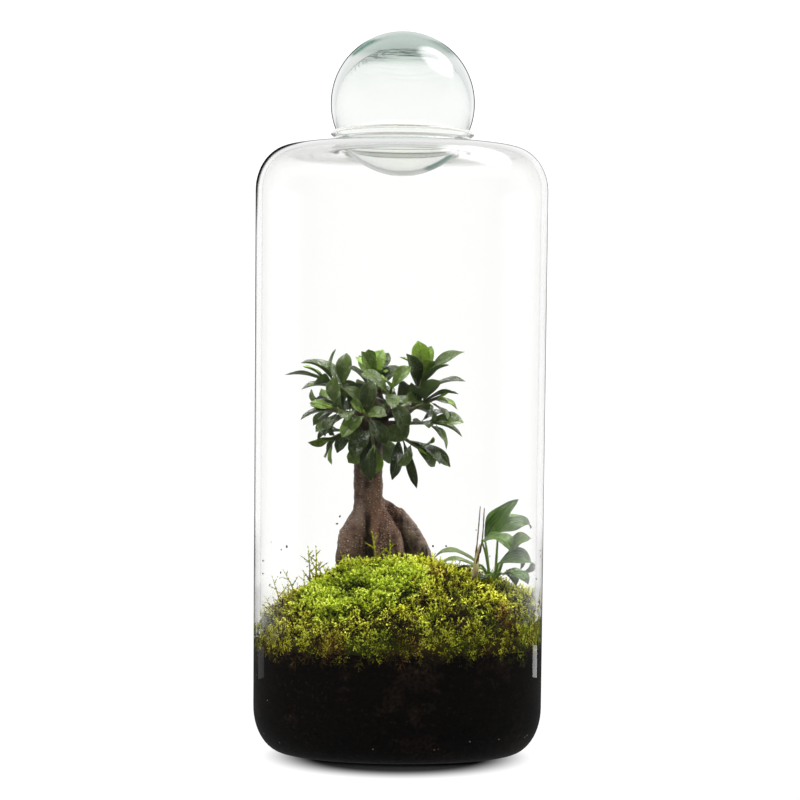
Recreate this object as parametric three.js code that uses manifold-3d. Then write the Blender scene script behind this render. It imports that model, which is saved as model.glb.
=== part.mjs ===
// A closed glass terrarium: a tall blown jar with a hollow glass ball resting in its neck, a bed of
// dark soil, a mound of moss with a clump of spikemoss, a small ginseng fig and a young peace lily.
// Millimetres, +Z up. The origin is on the jar's axis, in the plane that its foot stands on.
// The front, where the moss slopes down to the glass, faces -Y.
import * as THREE from "three";
import { mergeVertices } from "three/addons/utils/BufferGeometryUtils.js";
import Module from "manifold-3d";

const wasm = await Module();
wasm.setup();

// Driving dimensions
const ROUND_SIDES = 32; // facets of everything that is turned about the jar's axis
const ARC_STEPS = 4; // facets of a rounded corner
const GAP = 0.3; // between pieces that touch

const JAR_RADIUS = 101.5; // outside, under the shoulder
const FOOT_WALL_RADIUS = 99.5; // outside, above the foot: the wall widens a little upwards
const WALL = 4.5; // thickness of the jar's wall
const FLOOR = 7; // thickness of the jar's floor
const CORNER = { wide: 22, high: 32 }; // rounding between foot and wall
const SHOULDER = { wide: 24.2, high: 30.5, z: 388.1 }; // rounding between wall and shoulder
const PUNT = { inner: 46, outer: 54, high: 2 }; // the shallow hollow under the floor

// The ball: its wall is thicker at the crown, and its pipe hole is at the lowest point.
const BALL = { radius: 50, z: 449.4, wall: 2.8, crown: 8, hole: 5 };

const SOIL_EDGE = 73; // height of the soil at the glass
const SOIL_BEND = { radius: 56, z: 99 }; // where its steep edge turns into its flatter top
const SOIL_TOP = 110; // height of the soil in the middle
const MOSS_TOP = 126; // height of the moss round the trunk
const TUFT = 7; // how far its tufts stand up
const MOSS_SIDES = 40; // even, so that high and low tufts take turns
const MOSS_RINGS = [0, 14, 24, 33, 42, 50, 58, 66, 74, 82, 89];

// Leaves of the fig, and how they are spread
const LEAF_THICKNESS = 0.7;
const ROOT_HALF_WIDTH = 0.6;
const PETIOLE = 0.12; // bare part of a leaf's length
const BROADEST = 29; // leaves longer than this grow no wider
const STEM_LENGTH = 21;
const STEM_RADIUS = 1.3;
const TRIALS = 120; // ways that a leaf is bent before the roomiest is kept
const LEAF_ROOM = 4.2; // how far apart the sample points of two leaves should be
const TRUNK_CLEAR = { radius: 12, z: 246 }; // leaves keep out of the trunk up to its cut top
const GLASS_CLEAR = 91; // furthest that a leaf may reach from the jar's axis

const DEGREE = Math.PI / 180;
const GOLDEN_TURN = 137.5 * DEGREE;

// Solids
function solidOf(geometry) {
  const bare = new THREE.BufferGeometry();
  bare.setAttribute("position", geometry.getAttribute("position"));
  if (geometry.index) bare.setIndex(geometry.index);
  const merged = mergeVertices(bare, 1e-4);
  const position = merged.getAttribute("position");
  const triangles = [];
  for (let i = 0; i < merged.index.count; i += 3) {
    const [a, b, c] = [0, 1, 2].map((k) => merged.index.getX(i + k));
    if (a !== b && b !== c && a !== c) triangles.push(a, b, c);
  }
  const build = (order) =>
    new wasm.Manifold(
      new wasm.Mesh({
        numProp: 3,
        vertProperties: new Float32Array(position.array),
        triVerts: new Uint32Array(order),
      }),
    );
  const made = build(triangles);
  if (made.volume() > 0) return made;
  const turned = [];
  for (let i = 0; i < triangles.length; i += 3) {
    turned.push(triangles[i], triangles[i + 2], triangles[i + 1]);
  }
  return build(turned);
}

function geometryOf(solid) {
  const mesh = solid.getMesh();
  const points = new Float32Array(mesh.numVert * 3);
  for (let i = 0; i < mesh.numVert; i++) {
    const start = i * mesh.numProp;
    points.set(mesh.vertProperties.subarray(start, start + 3), i * 3);
  }
  const geometry = new THREE.BufferGeometry();
  geometry.setAttribute("position", new THREE.BufferAttribute(points, 3));
  geometry.setIndex(new THREE.BufferAttribute(new Uint32Array(mesh.triVerts), 1));
  const flat = geometry.toNonIndexed();
  flat.computeVertexNormals();
  return flat;
}

function geometryFrom(points, triangles) {
  const geometry = new THREE.BufferGeometry();
  const flat = new Float32Array(points.flatMap((p) => [p.x, p.y, p.z]));
  geometry.setAttribute("position", new THREE.BufferAttribute(flat, 3));
  geometry.setIndex(triangles);
  return geometry;
}

const joined = (solids) => solids.reduce((all, one) => all.add(one));

// The largest body of a solid: what a cut leaves loose beside it is dropped.
function mainBody(solid) {
  const bodies = solid.decompose();
  return bodies.reduce((best, one) => (one.volume() > best.volume() ? one : best));
}

// A profile of [radius, height] points turned about the jar's axis.
function turned(profile) {
  const outline = profile.map(([radius, height]) => new THREE.Vector2(radius, height));
  return solidOf(new THREE.LatheGeometry(outline, ROUND_SIDES).rotateX(Math.PI / 2));
}

// Points on a quarter of an ellipse, from one angle to another in degrees.
function arc(centreR, centreZ, wide, high, from, to, steps) {
  const points = [];
  for (let i = 0; i <= steps; i++) {
    const angle = (from + ((to - from) * i) / steps) * DEGREE;
    points.push([centreR + wide * Math.cos(angle), centreZ + high * Math.sin(angle)]);
  }
  return points;
}

// A tube of round section through points, with a radius at each of them.
function tube(points, radii, sides) {
  const vertices = [];
  const triangles = [];
  const last = points.length - 1;
  let side = new THREE.Vector3(0.31, 0.87, 0.38);
  points.forEach((point, i) => {
    const ahead = points[Math.min(i + 1, last)].clone().sub(points[Math.max(i - 1, 0)]).normalize();
    side = side.clone().addScaledVector(ahead, -side.dot(ahead)).normalize();
    const other = new THREE.Vector3().crossVectors(ahead, side);
    for (let k = 0; k < sides; k++) {
      const angle = (2 * Math.PI * k) / sides;
      vertices.push(
        point
          .clone()
          .addScaledVector(side, radii[i] * Math.cos(angle))
          .addScaledVector(other, radii[i] * Math.sin(angle)),
      );
    }
  });
  for (let i = 0; i < last; i++) {
    for (let k = 0; k < sides; k++) {
      const a = i * sides + k;
      const b = i * sides + ((k + 1) % sides);
      triangles.push(a, b, b + sides, a, b + sides, a + sides);
    }
  }
  for (let k = 1; k < sides - 1; k++) {
    triangles.push(0, k + 1, k);
    triangles.push(last * sides, last * sides + k, last * sides + k + 1);
  }
  return solidOf(geometryFrom(vertices, triangles));
}

const point = (x, y, z) => new THREE.Vector3(x, y, z);
const vector = ([x, y, z]) => point(x, y, z);

// A number from 0 to 1 that looks random and is the same each time.
function chance(n) {
  const value = Math.sin(n * 12.9898 + 4.1414) * 43758.5453;
  return value - Math.floor(value);
}

// The glass jar
function jarInside() {
  const inner = FOOT_WALL_RADIUS - WALL;
  const wide = CORNER.wide - WALL + 0.5;
  const high = CORNER.high - FLOOR + 2;
  return { inner, wide, high, cornerZ: FLOOR + high };
}

function seatPoint(radius) {
  const clear = BALL.radius + GAP;
  return [radius, BALL.z - Math.sqrt(clear * clear - radius * radius)];
}

function glassJar() {
  const inside = jarInside();
  const shoulderR = JAR_RADIUS - SHOULDER.wide;
  const neckZ = SHOULDER.z + SHOULDER.high;
  const innerTop = neckZ - WALL + 0.4;
  const outer = [
    [0, PUNT.high],
    [PUNT.inner, PUNT.high],
    [PUNT.outer, 0],
    ...arc(FOOT_WALL_RADIUS - CORNER.wide, CORNER.high, CORNER.wide, CORNER.high, -90, 0, ARC_STEPS),
    ...arc(shoulderR, SHOULDER.z, SHOULDER.wide, SHOULDER.high, 0, 90, ARC_STEPS),
    [62, neckZ + 0.6],
    [51.5, neckZ + 1.6],
    [48.2, neckZ + 3.4],
  ];
  const lip = [
    [48.2, neckZ + 6.2],
    [49.9, neckZ + 7.4],
    [50.5, neckZ + 9.6],
    [48.9, neckZ + 11.6],
    [46.9, neckZ + 11],
    seatPoint(45.2),
    seatPoint(43.6),
  ];
  const inner = [
    [43.2, neckZ + 1.6],
    [46, neckZ - 2.2],
    [62, neckZ - 3.6],
    ...arc(shoulderR, SHOULDER.z, SHOULDER.wide - WALL, innerTop - SHOULDER.z, 90, 0, ARC_STEPS),
    ...arc(inside.inner - inside.wide, inside.cornerZ, inside.wide, inside.high, 0, -90, ARC_STEPS),
    [0, FLOOR + 0.4],
  ];
  return turned([...outer, ...lip, ...inner]);
}

// The glass ball: blown, thicker at its crown, open where the pipe was at the lowest point
function glassBall() {
  const top = BALL.z + BALL.radius;
  const holeAngle = Math.asin(BALL.hole / BALL.radius) / DEGREE;
  const innerR = BALL.radius - BALL.wall;
  const innerHigh = (2 * BALL.radius - BALL.wall - BALL.crown) / 2;
  const innerZ = BALL.z - BALL.radius + BALL.wall + innerHigh;
  const innerHole = Math.asin(BALL.hole / innerR) / DEGREE;
  const outside = arc(0, BALL.z, BALL.radius, BALL.radius, 90, holeAngle - 90, 11);
  const inside = arc(0, innerZ, innerR, innerHigh, innerHole - 90, 90, 9);
  outside[0] = [0, top];
  inside[inside.length - 1] = [0, innerZ + innerHigh];
  return turned([...outside, ...inside]);
}

// The ground: soil, and moss on it
function mossHeight(x, y) {
  const r = Math.min(Math.hypot(x, y) / 94, 1);
  const front = Math.max(0, -y / 94);
  const fall = 35 + 6 * front * front - 6 * (x / 94);
  const swell = 1.6 * Math.sin(0.11 * x + 1.3) * Math.cos(0.13 * y - 0.4);
  return MOSS_TOP - fall * Math.pow(r, 2.3) + swell;
}

// Radius that the filling may reach at a height inside the jar.
function fillRadius(z) {
  const inside = jarInside();
  const rise = (z - inside.cornerZ) / (SHOULDER.z - inside.cornerZ);
  return inside.inner + (JAR_RADIUS - FOOT_WALL_RADIUS) * rise - GAP * 1.4;
}

function pottingSoil() {
  const inside = jarInside();
  const corner = arc(
    inside.inner - inside.wide,
    inside.cornerZ,
    inside.wide - GAP * 1.4,
    inside.high - GAP * 1.4,
    -90,
    0,
    ARC_STEPS,
  );
  const edge = [fillRadius(SOIL_EDGE), SOIL_EDGE];
  return turned([[0, FLOOR + 0.8], ...corner, edge, [SOIL_BEND.radius, SOIL_BEND.z], [0, SOIL_TOP]]);
}

// The moss as one body: tufts on top, the slope of the soil underneath.
function mossBody() {
  const vertices = [];
  const triangles = [];
  const ringStarts = [];
  const addRing = (radius, heightOf) => {
    const ring = ringStarts.length;
    ringStarts.push(vertices.length);
    const count = radius === 0 ? 1 : MOSS_SIDES;
    for (let k = 0; k < count; k++) {
      const angle = (2 * Math.PI * k) / MOSS_SIDES;
      const [x, y] = [radius * Math.cos(angle), radius * Math.sin(angle)];
      vertices.push(point(x, y, heightOf(x, y, ring, k)));
    }
  };
  const tufted = (x, y, ring, k) => {
    const stands = (ring + k) % 2 === 0 ? 1 : 0.18;
    return mossHeight(x, y) + TUFT * stands * (0.45 + 0.55 * chance(17 * ring + k));
  };
  const facets = Math.cos(Math.PI / ROUND_SIDES);
  MOSS_RINGS.forEach((radius) => addRing(radius, tufted));
  addRing(fillRadius(90) * facets, (x, y) => mossHeight(x, y) - 2);
  addRing(fillRadius(SOIL_EDGE) * facets, () => SOIL_EDGE + GAP * 2);
  addRing(SOIL_BEND.radius, () => SOIL_BEND.z + GAP * 1.5);
  addRing(0, () => SOIL_TOP + GAP * 1.5);
  for (let i = 0; i < ringStarts.length - 1; i++) {
    const [a, b] = [ringStarts[i], ringStarts[i + 1]];
    const nearCentre = i === 0;
    const farCentre = i === ringStarts.length - 2;
    for (let k = 0; k < MOSS_SIDES; k++) {
      const next = (k + 1) % MOSS_SIDES;
      if (nearCentre) triangles.push(a, b + k, b + next);
      else if (farCentre) triangles.push(a + k, b, a + next);
      else if ((i + k) % 2 === 0) triangles.push(a + k, b + k, b + next, a + k, b + next, a + next);
      else triangles.push(a + k, b + k, a + next, a + next, b + k, b + next);
    }
  }
  return solidOf(geometryFrom(vertices, triangles));
}

// Stray sprigs that stand up out of the carpet: foot, height, and how far they lean.
const SPRIGS = [
  [-78, -8, 20, -4],
  [-68, 2, 24, -7],
  [-61, -12, 19, 5],
  [-56, 8, 27, 3],
  [-70, -30, 15, -5],
  [34, -34, 17, 4],
  [22, 30, 22, -5],
  [78, -30, 15, 3],
];

function mossSprig([x, y, high, lean]) {
  const foot = point(x, y, mossHeight(x, y) - 4);
  const middle = point(x + lean * 0.2, y - 1, mossHeight(x, y) + high * 0.5);
  const tip = point(x + lean, y - 2, mossHeight(x, y) + high);
  return tube([foot, middle, tip], [1.6, 1.3, 0.5], 4);
}

// The patch of spikemoss in the carpet, front left of the fig
const PATCH = { x: -27, y: -42, wide: 42, deep: 33 };

function patchPrism(margin) {
  const outline = new THREE.Shape();
  outline.absellipse(PATCH.x, PATCH.y, PATCH.wide + margin, PATCH.deep + margin, 0, 2 * Math.PI);
  const prism = new THREE.ExtrudeGeometry(outline, { depth: 120, curveSegments: 9, bevelEnabled: false });
  return solidOf(prism.translate(0, 0, 50));
}

// The fig: swollen roots, a short trunk and branches
const FIG = { x: -21.8, y: 4 };

function figWood(grow) {
  const limb = (stations, sides) =>
    tube(
      stations.map(([x, y, z]) => point(FIG.x + x, FIG.y + y, z)),
      stations.map(([, , , radius]) => radius + grow),
      sides,
    );
  const trunk = limb(
    [
      [1, 2, 96, 13],
      [1, 1, 140, 14],
      [0, 0, 156, 13],
      [0, 0, 168, 10.6],
      [0, 0, 186, 9.9],
      [0, 0, 212, 10.2],
      [1, 0, 240, 9.8],
      [2, 0, 252, 7],
    ],
    10,
  );
  const leftBulb = limb(
    [
      [-8, 2, 88, 8],
      [-10, 0, 114, 11.6],
      [-10, -3, 134, 12.2],
      [-9, -4, 147, 11.6],
      [-5.5, -2, 159, 8.6],
      [-2, -1, 169, 7],
    ],
    10,
  );
  const frontBulb = limb(
    [
      [14, -8, 88, 7.5],
      [14.5, -9, 112, 11.6],
      [14, -8, 134, 12.8],
      [12, -6, 147, 12],
      [7, -3, 159, 9.4],
      [3, -1, 171, 6.8],
    ],
    10,
  );
  const rightRoot = limb(
    [
      [50, 6, 88, 5.5],
      [44, 6, 116, 6.6],
      [37.5, 5, 134, 7.4],
      [32.5, 4, 146, 6.9],
      [26, 4, 157, 6.4],
      [17, 3, 165, 6],
      [8, 2, 171, 5],
    ],
    8,
  );
  const backRoot = limb(
    [
      [4, 28, 88, 6.5],
      [4, 24, 112, 9],
      [3, 18, 134, 10.2],
      [1, 9, 152, 8.8],
      [0, 2, 168, 6.8],
    ],
    8,
  );
  return joined([trunk, leftBulb, frontBulb, rightRoot, backRoot]);
}

// Leafy shoots of the fig: where each stem ends, which way it points, how many leaves of what
// length it bears, how far round the first one stands, and where the tips of some leaves are.
const FIG_SHOOTS = [
  {
    name: "left_top",
    end: [-50, -8, 257],
    aim: [-0.82, -0.12, 0.52],
    leaves: 8,
    size: 32,
    turn: 10,
    tips: [[-69, -8, 250], [-62, 10, 272], [-37, -3, 276], [-80, -12, 260], [-69, -20, 268.5]],
  },
  {
    name: "top",
    end: [-20, -6, 263],
    aim: [-0.05, -0.15, 1],
    leaves: 8,
    size: 25,
    turn: 60,
    tips: [[-36, -16, 266], [2, -14, 266], [-27.6, -12, 275], [-12.6, -12, 277.5], [-8, 2, 277]],
  },
  {
    name: "right_top",
    end: [17, -2, 262],
    aim: [0.35, -0.05, 0.92],
    leaves: 8,
    size: 30,
    turn: 20,
    tips: [[46, -6, 257], [3, -12, 274], [34, -20, 268], [43.5, -3, 279], [22, 5, 281], [12.5, -4, 286]],
  },
  {
    name: "right_upper",
    end: [25, -13, 245],
    aim: [0.85, -0.35, 0.4],
    leaves: 7,
    size: 27,
    turn: 80,
    tips: [[12, -36, 252], [41, -14, 248], [27, -30, 256]],
  },
  {
    name: "right_middle",
    end: [24, -16, 228],
    aim: [0.88, -0.4, 0.02],
    leaves: 7,
    size: 28,
    turn: 140,
    tips: [[20, -36, 224], [43.5, -20, 218], [38, -4, 236], [46, -22, 231]],
  },
  {
    name: "right_low",
    end: [12, -20, 211],
    aim: [0.65, -0.5, -0.45],
    leaves: 7,
    size: 29,
    turn: 30,
    tips: [[-5, -27, 188], [11, -25, 182.5], [28, -29, 199], [37, -22, 200]],
  },
  {
    name: "front_top",
    end: [-6, -33, 251],
    aim: [0.15, -0.8, 0.55],
    leaves: 7,
    size: 28,
    turn: 100,
    tips: [[-18, -26, 244], [8, -32, 238]],
  },
  {
    name: "front",
    end: [-24, -37, 234],
    aim: [-0.1, -0.95, 0.2],
    leaves: 7,
    size: 28,
    turn: 50,
    tips: [[-5, -28, 240], [-38, -30, 252]],
  },
  {
    name: "front_low",
    end: [-18, -29, 213],
    aim: [0.1, -0.75, -0.6],
    leaves: 6,
    size: 30,
    turn: 170,
    tips: [[-32, -32, 202], [-19, -31, 187]],
  },
  {
    name: "left_front",
    end: [-45, -26, 237],
    aim: [-0.65, -0.65, 0.25],
    leaves: 7,
    size: 27,
    turn: 70,
    tips: [[-34, -42, 228]],
  },
  {
    name: "left_middle",
    end: [-52, -2, 237],
    aim: [-0.95, -0.1, 0.2],
    leaves: 7,
    size: 28,
    turn: 120,
    tips: [[-58, -16, 241], [-60, 12, 243], [-69, -8, 229]],
  },
  {
    name: "left_low",
    end: [-46, -11, 217],
    aim: [-0.75, -0.35, -0.35],
    leaves: 7,
    size: 27,
    turn: 150,
    tips: [[-29, -24, 202], [-43, -21, 206], [-57, -5, 214], [-60, -22, 221]],
  },
  { name: "back_top", end: [-23, 29, 258], aim: [-0.1, 0.65, 0.75], leaves: 6, size: 28, turn: 62 },
  { name: "back_left", end: [-46, 27, 238], aim: [-0.6, 0.75, 0.2], leaves: 6, size: 28, turn: 90 },
  { name: "back_right", end: [7, 29, 242], aim: [0.55, 0.75, 0.3], leaves: 6, size: 28, turn: 130 },
  { name: "back_low", end: [-18, 37, 216], aim: [0.05, 0.9, -0.3], leaves: 6, size: 28, turn: 15 },
];

// Half the width of a fig leaf along its length, as a share of its length.
function figHalfWidth(t) {
  const share = Math.max(0, (t - PETIOLE) / (1 - PETIOLE));
  return 0.25 * Math.pow(Math.sin(Math.PI * Math.pow(share, 1.1)), 0.6);
}

// A point of a leaf: along its midrib, and across it from -1 to 1.
function leafPoint(leaf, t, across, halfWidth) {
  const bend = leaf.curl * t;
  const reach = leaf.length / Math.max(leaf.curl, 1e-6);
  const forward = reach * Math.sin(bend);
  const down = reach * (1 - Math.cos(bend));
  const spine = leaf.foot
    .clone()
    .addScaledVector(leaf.aim, forward)
    .addScaledVector(leaf.face, -down);
  const normal = leaf.face.clone().multiplyScalar(Math.cos(bend)).addScaledVector(leaf.aim, Math.sin(bend));
  const side = new THREE.Vector3().crossVectors(leaf.face, leaf.aim);
  const wide = across * halfWidth * leaf.broad;
  const lift = Math.abs(wide) * leaf.fold;
  return { at: spine.addScaledVector(side, wide).addScaledVector(normal, lift), normal };
}

// The way a leaf points and faces by the rule of the shoot: in turn round the stem.
function leafByTurn(shoot, axis, i, age, draw, trial) {
  const stray = trial / TRIALS;
  const sway = (150 * stray * (chance(7 * trial + 3) - 0.5) + 8 * (draw(1) - 0.5)) * DEGREE;
  const tilt = 70 * stray * (chance(5 * trial + 1) - 0.5);
  const spread = (24 + 60 * Math.pow(age, 0.8) + 10 * (draw(2) - 0.5) + tilt) * DEGREE;
  const angle = shoot.turn * DEGREE + i * GOLDEN_TURN + sway;
  const level = point(0.3, 0.2, 1).cross(axis).normalize();
  const other = new THREE.Vector3().crossVectors(axis, level);
  const out = level.multiplyScalar(Math.cos(angle)).addScaledVector(other, Math.sin(angle));
  const aim = axis.clone().multiplyScalar(Math.cos(spread)).addScaledVector(out, Math.sin(spread));
  aim.z -= 0.16 * age;
  aim.normalize();
  const face = axis.clone().multiplyScalar(Math.sin(spread)).addScaledVector(out, -Math.cos(spread));
  face.z += 0.7;
  const length = shoot.size * (0.66 + 0.38 * Math.pow(age, 0.6)) * (0.92 + 0.16 * draw(3));
  const curl = (16 + 40 * age + 16 * draw(4) + 30 * stray * (chance(3 * trial + 2) - 0.5)) * DEGREE;
  return { aim, face, length, curl };
}

// The same for a leaf whose tip is given: an arc of a circle from its foot to there.
function leafByTip(tip, foot, draw, trial) {
  const stray = trial / TRIALS;
  const wander = [1, 2, 3].map((k) => chance(9 * trial + k) - 0.5);
  const reach = vector(tip).sub(foot).add(vector(wander).multiply(point(7, 22, 7)).multiplyScalar(stray));
  const chord = reach.clone().normalize();
  const up = point(0.5 * (draw(1) - 0.5), -0.3 + 0.7 * (draw(2) - 0.5), 0.8);
  if (Math.abs(chord.z) > 0.8) up.set(-0.3 * Math.sign(tip[0] - foot.x), -0.9, 0.2);
  up.x += 1.2 * stray * wander[0];
  up.y += 1.2 * stray * wander[2];
  up.addScaledVector(chord, -up.dot(chord)).normalize();
  const curl = (24 + 22 * draw(4)) * DEGREE;
  const aim = chord.clone().multiplyScalar(Math.cos(curl / 2)).addScaledVector(up, Math.sin(curl / 2));
  const length = (reach.length() * (curl / 2)) / Math.sin(curl / 2);
  return { aim, face: up, length, curl };
}

function figLeaf(shoot, s, i, trial) {
  const axis = vector(shoot.aim).normalize();
  const age = 1 - i / (shoot.leaves - 1);
  const draw = (n) => chance(100 * s + 10 * i + n);
  const foot = vector(shoot.end).addScaledVector(axis, STEM_LENGTH * (0.16 + 0.84 * (1 - age) - 1));
  const tip = shoot.tips && shoot.tips[i];
  const way = tip ? leafByTip(tip, foot, draw, trial) : leafByTurn(shoot, axis, i, age, draw, trial);
  way.face.addScaledVector(way.aim, -way.face.dot(way.aim)).normalize();
  const leaf = { ...way, foot, fold: 0.22, broad: Math.min(way.length, BROADEST), shoot: s };
  leaf.samples = [];
  for (const t of [0.2, 0.36, 0.52, 0.68, 0.84, 1]) {
    for (const across of [-0.8, 0, 0.8]) {
      leaf.samples.push({ t, at: leafPoint(leaf, t, across, figHalfWidth(Math.min(t, 0.97))).at });
    }
  }
  return leaf;
}

// Points along the twigs and stems, for leaves to keep clear of.
function woodPosts() {
  return FIG_SHOOTS.map((shoot, s) => {
    const axis = vector(shoot.aim).normalize();
    const line = [...twigLine(shoot), vector(shoot.end).addScaledVector(axis, 3)];
    const samples = [];
    for (let i = 0; i < line.length - 1; i++) {
      const steps = Math.ceil(line[i].distanceTo(line[i + 1]) / 4);
      for (let k = 1; k <= steps; k++) {
        samples.push({ t: 0, at: line[i].clone().lerp(line[i + 1], k / steps) });
      }
    }
    return { shoot: s, foot: vector(shoot.end), samples };
  });
}

// How much room a leaf has to those already placed, the trunk and the glass.
function roomOf(leaf, placed) {
  let room = 99;
  for (const { t, at } of leaf.samples) {
    room = Math.min(room, GLASS_CLEAR - Math.hypot(at.x, at.y) + LEAF_ROOM);
    const fromTrunk = Math.hypot(at.x - FIG.x, at.y - FIG.y) - TRUNK_CLEAR.radius;
    if (at.z < TRUNK_CLEAR.z) room = Math.min(room, fromTrunk + LEAF_ROOM);
    for (const other of placed) {
      const kin = other.shoot === leaf.shoot;
      if (kin && t < 0.5) continue;
      if (other.foot.distanceTo(leaf.foot) > 80) continue;
      for (const sample of other.samples) {
        if (kin && sample.t < 0.5) continue;
        room = Math.min(room, sample.at.distanceTo(at));
      }
    }
  }
  return room;
}

function figLeaves() {
  const placed = woodPosts();
  const posts = placed.length;
  FIG_SHOOTS.forEach((shoot, s) => {
    for (let i = 0; i < shoot.leaves; i++) {
      let best = null;
      for (let trial = 0; trial < TRIALS; trial++) {
        const leaf = figLeaf(shoot, s, i, trial);
        leaf.room = roomOf(leaf, placed);
        if (!best || leaf.room > best.room) best = leaf;
        if (leaf.room > LEAF_ROOM) break;
      }
      placed.push(best);
    }
  });
  return placed.slice(posts);
}

// A leaf as a thin closed blade: a narrow root, sections with a midrib, and a pointed tip.
function blade(leaf, sections, thickness, grow) {
  const vertices = [];
  const half = thickness / 2 + grow;
  const addPair = (t, across, halfWidth) => {
    const { at, normal } = leafPoint(leaf, t, across, halfWidth);
    vertices.push(at.clone().addScaledVector(normal, half), at.clone().addScaledVector(normal, -half));
  };
  for (const across of [-1, 1]) addPair(0, across, (ROOT_HALF_WIDTH + grow) / leaf.broad);
  for (const [t, halfWidth] of sections) {
    for (const across of [-1, 0, 1]) addPair(t, across, halfWidth + grow / leaf.broad);
  }
  addPair(1 + grow / leaf.length, 0, 0);
  const triangles = [];
  const quad = (a, b, c, d) => triangles.push(a, b, c, a, c, d);
  const root = 0;
  const first = 4;
  const row = 6;
  quad(root, root + 2, first + 2, first);
  triangles.push(root + 2, first + 4, first + 2);
  quad(root + 1, first + 1, first + 3, root + 3);
  triangles.push(root + 3, first + 3, first + 5);
  quad(root, first, first + 1, root + 1);
  quad(root + 2, root + 3, first + 5, first + 4);
  for (let s = 0; s < sections.length - 1; s++) {
    const [here, next] = [first + s * row, first + (s + 1) * row];
    for (const k of [0, 2]) {
      quad(here + k, here + k + 2, next + k + 2, next + k);
      quad(here + k + 1, next + k + 1, next + k + 3, here + k + 3);
    }
    quad(here, next, next + 1, here + 1);
    quad(here + 4, here + 5, next + 5, next + 4);
  }
  const end = first + (sections.length - 1) * row;
  const tip = first + sections.length * row;
  for (const k of [0, 2]) {
    triangles.push(end + k, end + k + 2, tip);
    triangles.push(end + k + 1, tip + 1, end + k + 3);
  }
  quad(end, tip, tip + 1, end + 1);
  quad(end + 4, end + 5, tip + 1, tip);
  quad(root, root + 1, root + 3, root + 2);
  return solidOf(geometryFrom(vertices, triangles));
}

const figSections = [0.45, 0.8].map((t) => [t, figHalfWidth(t)]);

function shootStem(shoot, grow) {
  const axis = vector(shoot.aim).normalize();
  const end = vector(shoot.end);
  const start = end.clone().addScaledVector(axis, -STEM_LENGTH);
  const tip = end.clone().addScaledVector(axis, 3.5);
  return tube([start, end, tip], [STEM_RADIUS + grow, STEM_RADIUS * 0.85 + grow, 0.5 + grow], 4);
}

// The twig that carries a shoot, from the trunk to just short of the shoot's stem.
function twigLine(shoot) {
  const axis = vector(shoot.aim).normalize();
  const end = vector(shoot.end).addScaledVector(axis, -STEM_LENGTH - GAP);
  const before = end.clone().addScaledVector(axis, -6);
  const rootZ = Math.min(240, Math.max(200, before.z - 6));
  const root = point(FIG.x, FIG.y, rootZ);
  const knee = root.clone().lerp(before, 0.55);
  knee.z += 1.5;
  return [root, knee, before, end];
}

const figTwig = (shoot, grow) => tube(twigLine(shoot), [3.6, 2.6, 2.1, 1.7].map((r) => r + grow), 5);

// The young peace lily: leaves on long stalks from one crown
const LILY = { x: 65, y: -8, z: 119 };
const LILY_LEAVES = [
  { knee: [64, -12, 147], aim: [0.52, -0.2, 0.83], face: [-0.5, -0.75, 0.4], length: 36, wide: 0.22, curl: 24 },
  { knee: [74, 0, 155], aim: [0.7, 0.1, 0.6], face: [-0.3, -0.5, 0.8], length: 24, wide: 0.2, curl: 80 },
  { knee: [76, -14, 137], aim: [0.55, -0.3, 0.7], face: [-0.4, -0.6, 0.7], length: 20, wide: 0.26, curl: 40 },
  { knee: [59, -24, 145], aim: [0.45, -0.75, 0.3], face: [0.1, 0.4, 0.9], length: 26, wide: 0.25, curl: 90 },
  { knee: [73, 6, 134], aim: [0.75, 0.3, 0.35], face: [-0.2, -0.3, 0.93], length: 26, wide: 0.22, curl: 110 },
  { knee: [71, -24, 127], aim: [0.45, -0.85, 0.05], face: [0, 0.05, 1], length: 21, wide: 0.26, curl: 50 },
  { knee: [55, -15, 131], aim: [-0.85, -0.2, 0.6], face: [0.5, -0.3, 0.8], length: 36, wide: 0.12, curl: 70 },
  { knee: [57, -4, 131], aim: [-0.8, 0, 0.65], face: [0.5, -0.1, 0.8], length: 34, wide: 0.12, curl: 65 },
  { knee: [60, 12, 138], aim: [-0.2, 0.8, 0.5], face: [0.1, 0.2, 0.95], length: 30, wide: 0.2, curl: 60 },
];

const lilyHalfWidth = (t) => Math.pow(Math.sin(Math.PI * Math.pow(t, 0.82)), 0.9);

function lilyLeaf({ knee, aim, face, length, wide, curl }, grow) {
  const ahead = vector(aim).normalize();
  const up = vector(face);
  up.addScaledVector(ahead, -up.dot(ahead)).normalize();
  const shape = { length, broad: length, curl: curl * DEGREE, fold: 0.3 };
  const leaf = { foot: vector(knee), aim: ahead, face: up, ...shape };
  const sections = [0.26, 0.55, 0.82].map((t) => [t, wide * lilyHalfWidth(t)]);
  const out = point(leaf.foot.x - LILY.x, leaf.foot.y - LILY.y, 0).normalize();
  const foot = point(LILY.x, LILY.y, LILY.z).addScaledVector(out, 2.6);
  const middle = foot.clone().lerp(leaf.foot, 0.55);
  middle.z += 3;
  const into = leaf.foot.clone().addScaledVector(ahead, 2.5);
  const stalk = tube([foot, middle, leaf.foot, into], [1.25, 1, 0.8, 0.55].map((r) => r + grow), 4);
  return stalk.add(blade(leaf, sections, LEAF_THICKNESS, grow));
}

function lilyCrown(grow) {
  const stations = [92, 118, 125].map((z) => point(LILY.x, LILY.y, z));
  return tube(stations, [4 + grow, 4.4 + grow, 2.6 + grow], 8);
}

const peaceLily = (grow) => joined([lilyCrown(grow), ...LILY_LEAVES.map((leaf) => lilyLeaf(leaf, grow))]);

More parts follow.
